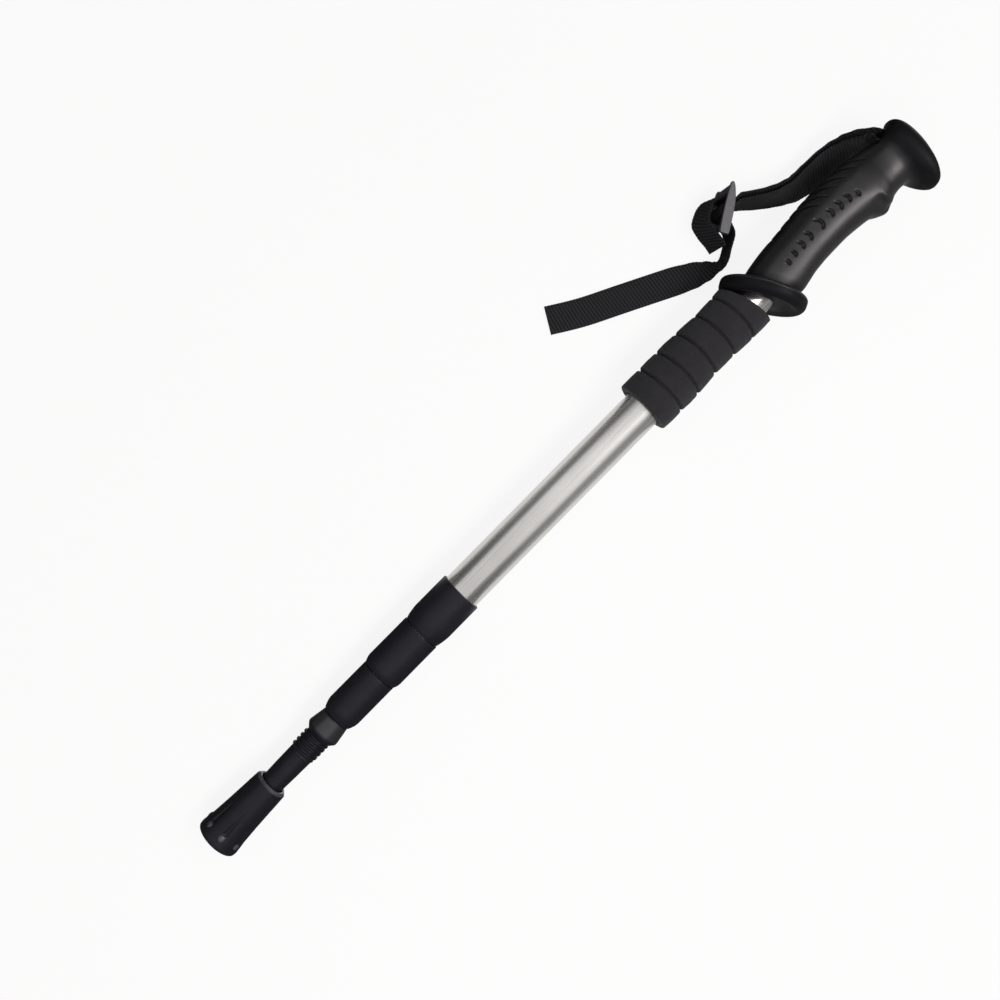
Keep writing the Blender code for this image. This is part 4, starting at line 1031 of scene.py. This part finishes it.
def makeStrap():
    # one strip of ribbed webbing with a selvedge on both sides
    points, widths = fineRoute(strapRoute(), weave["step"])
    ahead = unit(np.gradient(points, axis=0))
    out = unit(np.cross(ahead, widths))
    side = unit(np.cross(out, ahead))
    run = np.concatenate([[0], np.cumsum(np.linalg.norm(np.diff(points, axis=0), axis=1))])
    across = np.cos(np.linspace(0, math.pi, weave["columns"]))
    slanted = run[:, None] + across[None, :] * weave["slant"] * strap["width"] / 2
    ribs = 0.5 - 0.5 * np.cos(slanted * math.tau / weave["rib"])
    rings, marks = [], []
    for i in range(len(points)):
        half = strap["width"] / 2 - weave["edgeWave"] * (1 - ribs[i])
        thick = strap["thick"] / 2 - weave["ribHeight"] * (1 - ribs[i])
        edge = (1 - np.abs(across)**8)**0.5
        top = points[i] + side[i] * (across * half)[:, None] + out[i] * (edge * thick)[:, None]
        low = points[i] + side[i] * (across * half)[:, None] - out[i] * (edge * thick)[:, None]
        rings.append(np.concatenate([top, low[-2:0:-1]]))
        shares = np.concatenate([across * half, (across * half)[-2:0:-1]])
        marks += zip([slanted[i, 0]] * len(shares), shares, [*ribs[i], *ribs[i][-2:0:-1]])
    mesh = bpy.data.meshes.new("webbing")
    rings = np.array(rings)
    count, steps = rings.shape[:2]
    ends = [list(range(steps))[::-1], list(range((count - 1) * steps, count * steps))]
    mesh.from_pydata(rings.reshape(-1, 3).tolist(), [], ringQuads(count, steps) + ends)
    # along, across and the rib's height, from which the finish paints the crests lighter and the
    # troughs darker, a painted highlight and shade
    spots = mesh.attributes.new("weave", "FLOAT_VECTOR", "POINT")
    spots.data.foreach_set("vector", np.array(marks, np.float32).ravel())
    mesh = edited(mesh, lambda bm: bmesh.ops.recalc_face_normals(bm, faces=bm.faces))
    ribbon = setPiece("wrist_webbing", mesh, floorFrame, "webbing", "strap",
                      ["strap_webbing"])


def makeBuckle():
    # two rails with a lever plate and two round bars between them, moulded in one
    u, v, w = buckleAxes()
    place = Matrix.Translation(Vector(buckle["centre"])) @ Matrix((u, v, w)).transposed().to_4x4()
    offset = (buckle["inside"] + buckle["rail"]) / 2
    solids = []
    corners = [Vector(p) for p in buckle["outline"]]
    smooth = []
    for i in range(len(corners)):
        four = [corners[(i + k) % len(corners)] for k in (-1, 0, 1, 2)]
        smooth += [onCurve(*four, k / 6) for k in range(6)]
    for middle in (offset, -offset):
        rings = []
        for level, inset in buckle["railRounding"]:
            z = middle + level * buckle["rail"]
            rings.append([(p.x * (1 - (1 - inset) * 0.3), p.y * inset, z) for p in smooth])
        solids.append(ringMesh("rail", rings))
    plate = roundCorners([(*p, 0.3) for p in buckle["lever"]])
    solids.append(ringMesh("lever", [[(*p, side * offset) for p in plate] for side in (-1, 0, 1)]))
    for along in buckle["bars"]:
        spot = Matrix.Translation((along, 0, 0))
        solids.append(rodBlank(buckle["barRadius"], -offset, offset, spot))
    mesh = fused(solids, buckle["voxel"], buckle["smoothing"])
    setPiece("ladder_buckle", mesh, floorFrame @ place, "buckle", "strap",
             ["strap_buckle"])


makeStrap()
makeBuckle()
print("strap and buckle made")


# Floor, light and camera

studio = dict(
    # beyond the foot, whose rim rests at x = restX in m, the floor falls away with the shaft
    floorSize=12.0, restX=-0.237, floorDrop=0.0002, floorColor=(0.82, 0.82, 0.82),
    white=0.88, worldLevel=0.2,
    softbox=dict(size=(2.6, 1.9), height=1.25, level=0.26, color=(0.97, 0.985, 1.0)),
    strip=dict(size=(1.6, 0.34), distance=1.1, lean=27.0, level=6.4, color=(1.0, 0.975, 0.945),
               aim=(0, -0.02, 0.01)),
    # cards that only the gloss sees, on a tunnel round the shaft: from and to along the shaft in
    # mm, degrees from straight up towards the strap, and how bright
    tunnel=1200.0,
    cards=dict(
        tubeLeft=(60, 506, -90, -58, 0.34), tubeLeftSoft=(60, 506, -58, -48, 0.68),
        tubeStrip=(60, 330, -36, -20, 1.05), tubeStripBright=(330, 506, -36, -14, 1.6),
        tubeTop=(330, 506, -14, 24, 1.35), tubeRight=(60, 506, 57, 90, 0.24),
        tubeRightSoft=(60, 506, 48, 57, 0.6),
        handleLeft=(506, 1300, -90, -48, 0.3), foamStrip=(506, 760, -48, -21, 1.0),
        handleStrip=(760, 1010, -44, -12, 8.6), neckStrip=(1010, 1150, -58, -26, 22.0),
        headStrip=(1150, 1300, -48, -21, 0.03),
        foamTop=(506, 760, -21, 38, 0.5), handleTop=(760, 1130, -12, 38, 1.8),
        headTop=(1130, 1300, -21, 38, 0.03), handleRight=(506, 1300, 38, 90, 0.08),
        tipLeft=(-700, 60, -90, -46, 0.15), tipTop=(-700, 60, -46, 46, 0.85),
        tipRight=(-700, 60, 46, 90, 0.12)),
    # walls across the tunnel: where, and how bright
    walls=dict(beyondHead=(1300, 0.03), beyondFoot=(-700, 0.25)),
    warmCards=("handleStrip", "neckStrip"), warm=(1.0, 0.93, 0.92),
    # end to end along the shaft, side to side across it, and how bright
    flags=dict(
        tubeLeft=((171, 297), (-600, -90), 0.4), tubeRight=((171, 297), (90, 600), 0.4),
        handleLeft=((300, 800), (-700, -19), 0.3), handleRight=((300, 800), (16, 700), 0.03),
        tipLeft=((-300, 165), (-600, -12), 0.1), tipRight=((-300, 165), (12, 600), 0.08)),
    flagHeight=0.6)


def paleFloor():
    f = Finish("paleFloor", baseColor=studio["floorColor"], roughness=0.9)
    rays = f.node("LightPath", {}, {}).socket.node.outputs
    seen = (Wire(f, rays["Is Camera Ray"]) + Wire(f, rays["Is Glossy Ray"])
            + Wire(f, rays["Is Transmission Ray"]))
    glow = f.node("Emission", {}, dict(Color=(1, 1, 1, 1), Strength=1.0))
    share = f.node("Math", dict(operation="MINIMUM"), {0: seen, 1: 1.0}) * studio["white"]
    out = f.tree.nodes["Material Output"]
    both = f.node("MixShader", {}, {0: share, 1: Wire(f, f.shader.outputs[0]), 2: glow})
    f.tree.links.new(both.socket, out.inputs["Surface"])
    half, restX, level = studio["floorSize"] / 2, studio["restX"], -studio["floorDrop"]
    low = level - (half + restX) * shaftX.z / shaftX.x
    profile = ((-half, low), (restX, level), (half, level))
    rows = [(x, y, z) for x, z in profile for y in (-half, half)]
    floor = bpy.data.meshes.new("floor")
    floor.from_pydata(rows, [], [(0, 2, 3, 1), (2, 4, 5, 3)])
    floor.materials.append(f.material)
    piece = bpy.data.objects.new("floor", floor)
    bpy.context.scene.collection.objects.link(piece)


def areaLamp(name, look, spot, aim):
    lamp = bpy.data.lights.new(name, "AREA")
    lamp.shape = "RECTANGLE"
    lamp.size, lamp.size_y = look["size"]
    lamp.color = look["color"]
    lamp.energy = look["level"] * math.pi * lamp.size * lamp.size_y
    holder = bpy.data.objects.new(name, lamp)
    holder.location = spot
    holder.rotation_euler = (Vector(aim) - Vector(spot)).to_track_quat("-Z", "Y").to_euler()
    holder.visible_camera = holder.visible_glossy = False
    bpy.context.scene.collection.objects.link(holder)


def studioLight():
    box, strip = studio["softbox"], studio["strip"]
    areaLamp("softbox", box, (0, 0, box["height"]), (0, 0, 0))
    a = math.radians(strip["lean"])
    away = strip["distance"]
    areaLamp("strip", strip, (0, -away * math.sin(a), away * math.cos(a)), strip["aim"])
    world = bpy.data.worlds.new("studio")
    bpy.context.scene.world = world
    world.use_nodes = True
    tree = world.node_tree
    back = tree.nodes["Background"]
    back.inputs["Color"].default_value = (1, 1, 1, 1)
    rays = tree.nodes.new("ShaderNodeLightPath").outputs
    seen = rays["Is Camera Ray"]
    for kind in ("Is Glossy Ray", "Is Transmission Ray"):
        both = tree.nodes.new("ShaderNodeMath")
        both.operation = "ADD"
        tree.links.new(seen, both.inputs[0])
        tree.links.new(rays[kind], both.inputs[1])
        seen = both.outputs[0]
    level = tree.nodes.new("ShaderNodeMapRange")
    level.clamp = True
    level.inputs["To Min"].default_value = studio["worldLevel"]
    level.inputs["To Max"].default_value = 1.0
    tree.links.new(seen, level.inputs["Value"])
    tree.links.new(level.outputs[0], back.inputs["Strength"])


def glossCard(name, points, faces, place, level):
    # a card that neither the camera nor the diffuse light sees, as one in a product studio
    mesh = bpy.data.meshes.new(name)
    mesh.from_pydata(points, [], faces)
    mesh.transform(place)
    tint = studio["warm"] if name in studio["warmCards"] else (1, 1, 1)
    f = Finish(name, baseColor=(0, 0, 0), specularIorLevel=0.0, emissionColor=tint,
               emissionStrength=level)
    mesh.materials.append(f.material)
    card = bpy.data.objects.new(name, mesh)
    bpy.context.scene.collection.objects.link(card)
    card.visible_camera = card.visible_diffuse = card.visible_shadow = False
    card.visible_transmission = False


def tunnelArc(x, begin, end, count):
    # points on the tunnel round the shaft, from one turn to another in degrees
    turns = np.radians(np.linspace(begin, end, count))
    return [(x, studio["tunnel"] * math.sin(a), studio["tunnel"] * math.cos(a)) for a in turns]


def glossCards():
    steps = 9
    quads = [(k, k + 1, k + steps + 1, k + steps) for k in range(steps - 1)]
    for name, (low, high, begin, end, level) in studio["cards"].items():
        points = tunnelArc(low, begin, end, steps) + tunnelArc(high, begin, end, steps)
        glossCard(name, points, quads, shaftFrame, level)
    for name, (x, level) in studio["walls"].items():
        rim = tunnelArc(x, -90, 90, 13)
        glossCard(name, rim, [tuple(range(len(rim)))], shaftFrame, level)
    for name, ((low, high), (near, far), level) in studio["flags"].items():
        z = studio["flagHeight"]
        corners = [(low, near, z), (high, near, z), (high, far, z), (low, far, z)]
        glossCard("flag_" + name, corners, [(0, 1, 2, 3)], floorFrame, level)


# the camera's place along, across and above the shaft in mm, and the picture's rightward way
view = dict(
    along=216.7, across=17.95, height=488.0, right=(0.70285, -0.7116), lens=36.0, sensor=36.0)


def aimCamera():
    # straight down on the shaft from the photograph's place, turned to its slant
    camera = bpy.data.cameras.new("camera")
    camera.lens, camera.sensor_width = view["lens"], view["sensor"]
    camera.clip_start = 0.02
    holder = bpy.data.objects.new("camera", camera)
    bpy.context.scene.collection.objects.link(holder)
    cx, sx = view["right"]
    right = shaftX * cx + shaftY * sx
    up = shaftZ.cross(right)
    turn = Matrix((right, up, shaftZ)).transposed().to_4x4()
    spot = shaftFrame @ Vector((view["along"], view["across"], view["height"]))
    holder.matrix_world = Matrix.Translation(spot) @ turn
    bpy.context.scene.camera = holder


paleFloor()
studioLight()
glossCards()
aimCamera()
bpy.context.scene.view_settings.view_transform = "Standard"
print("studio set up")
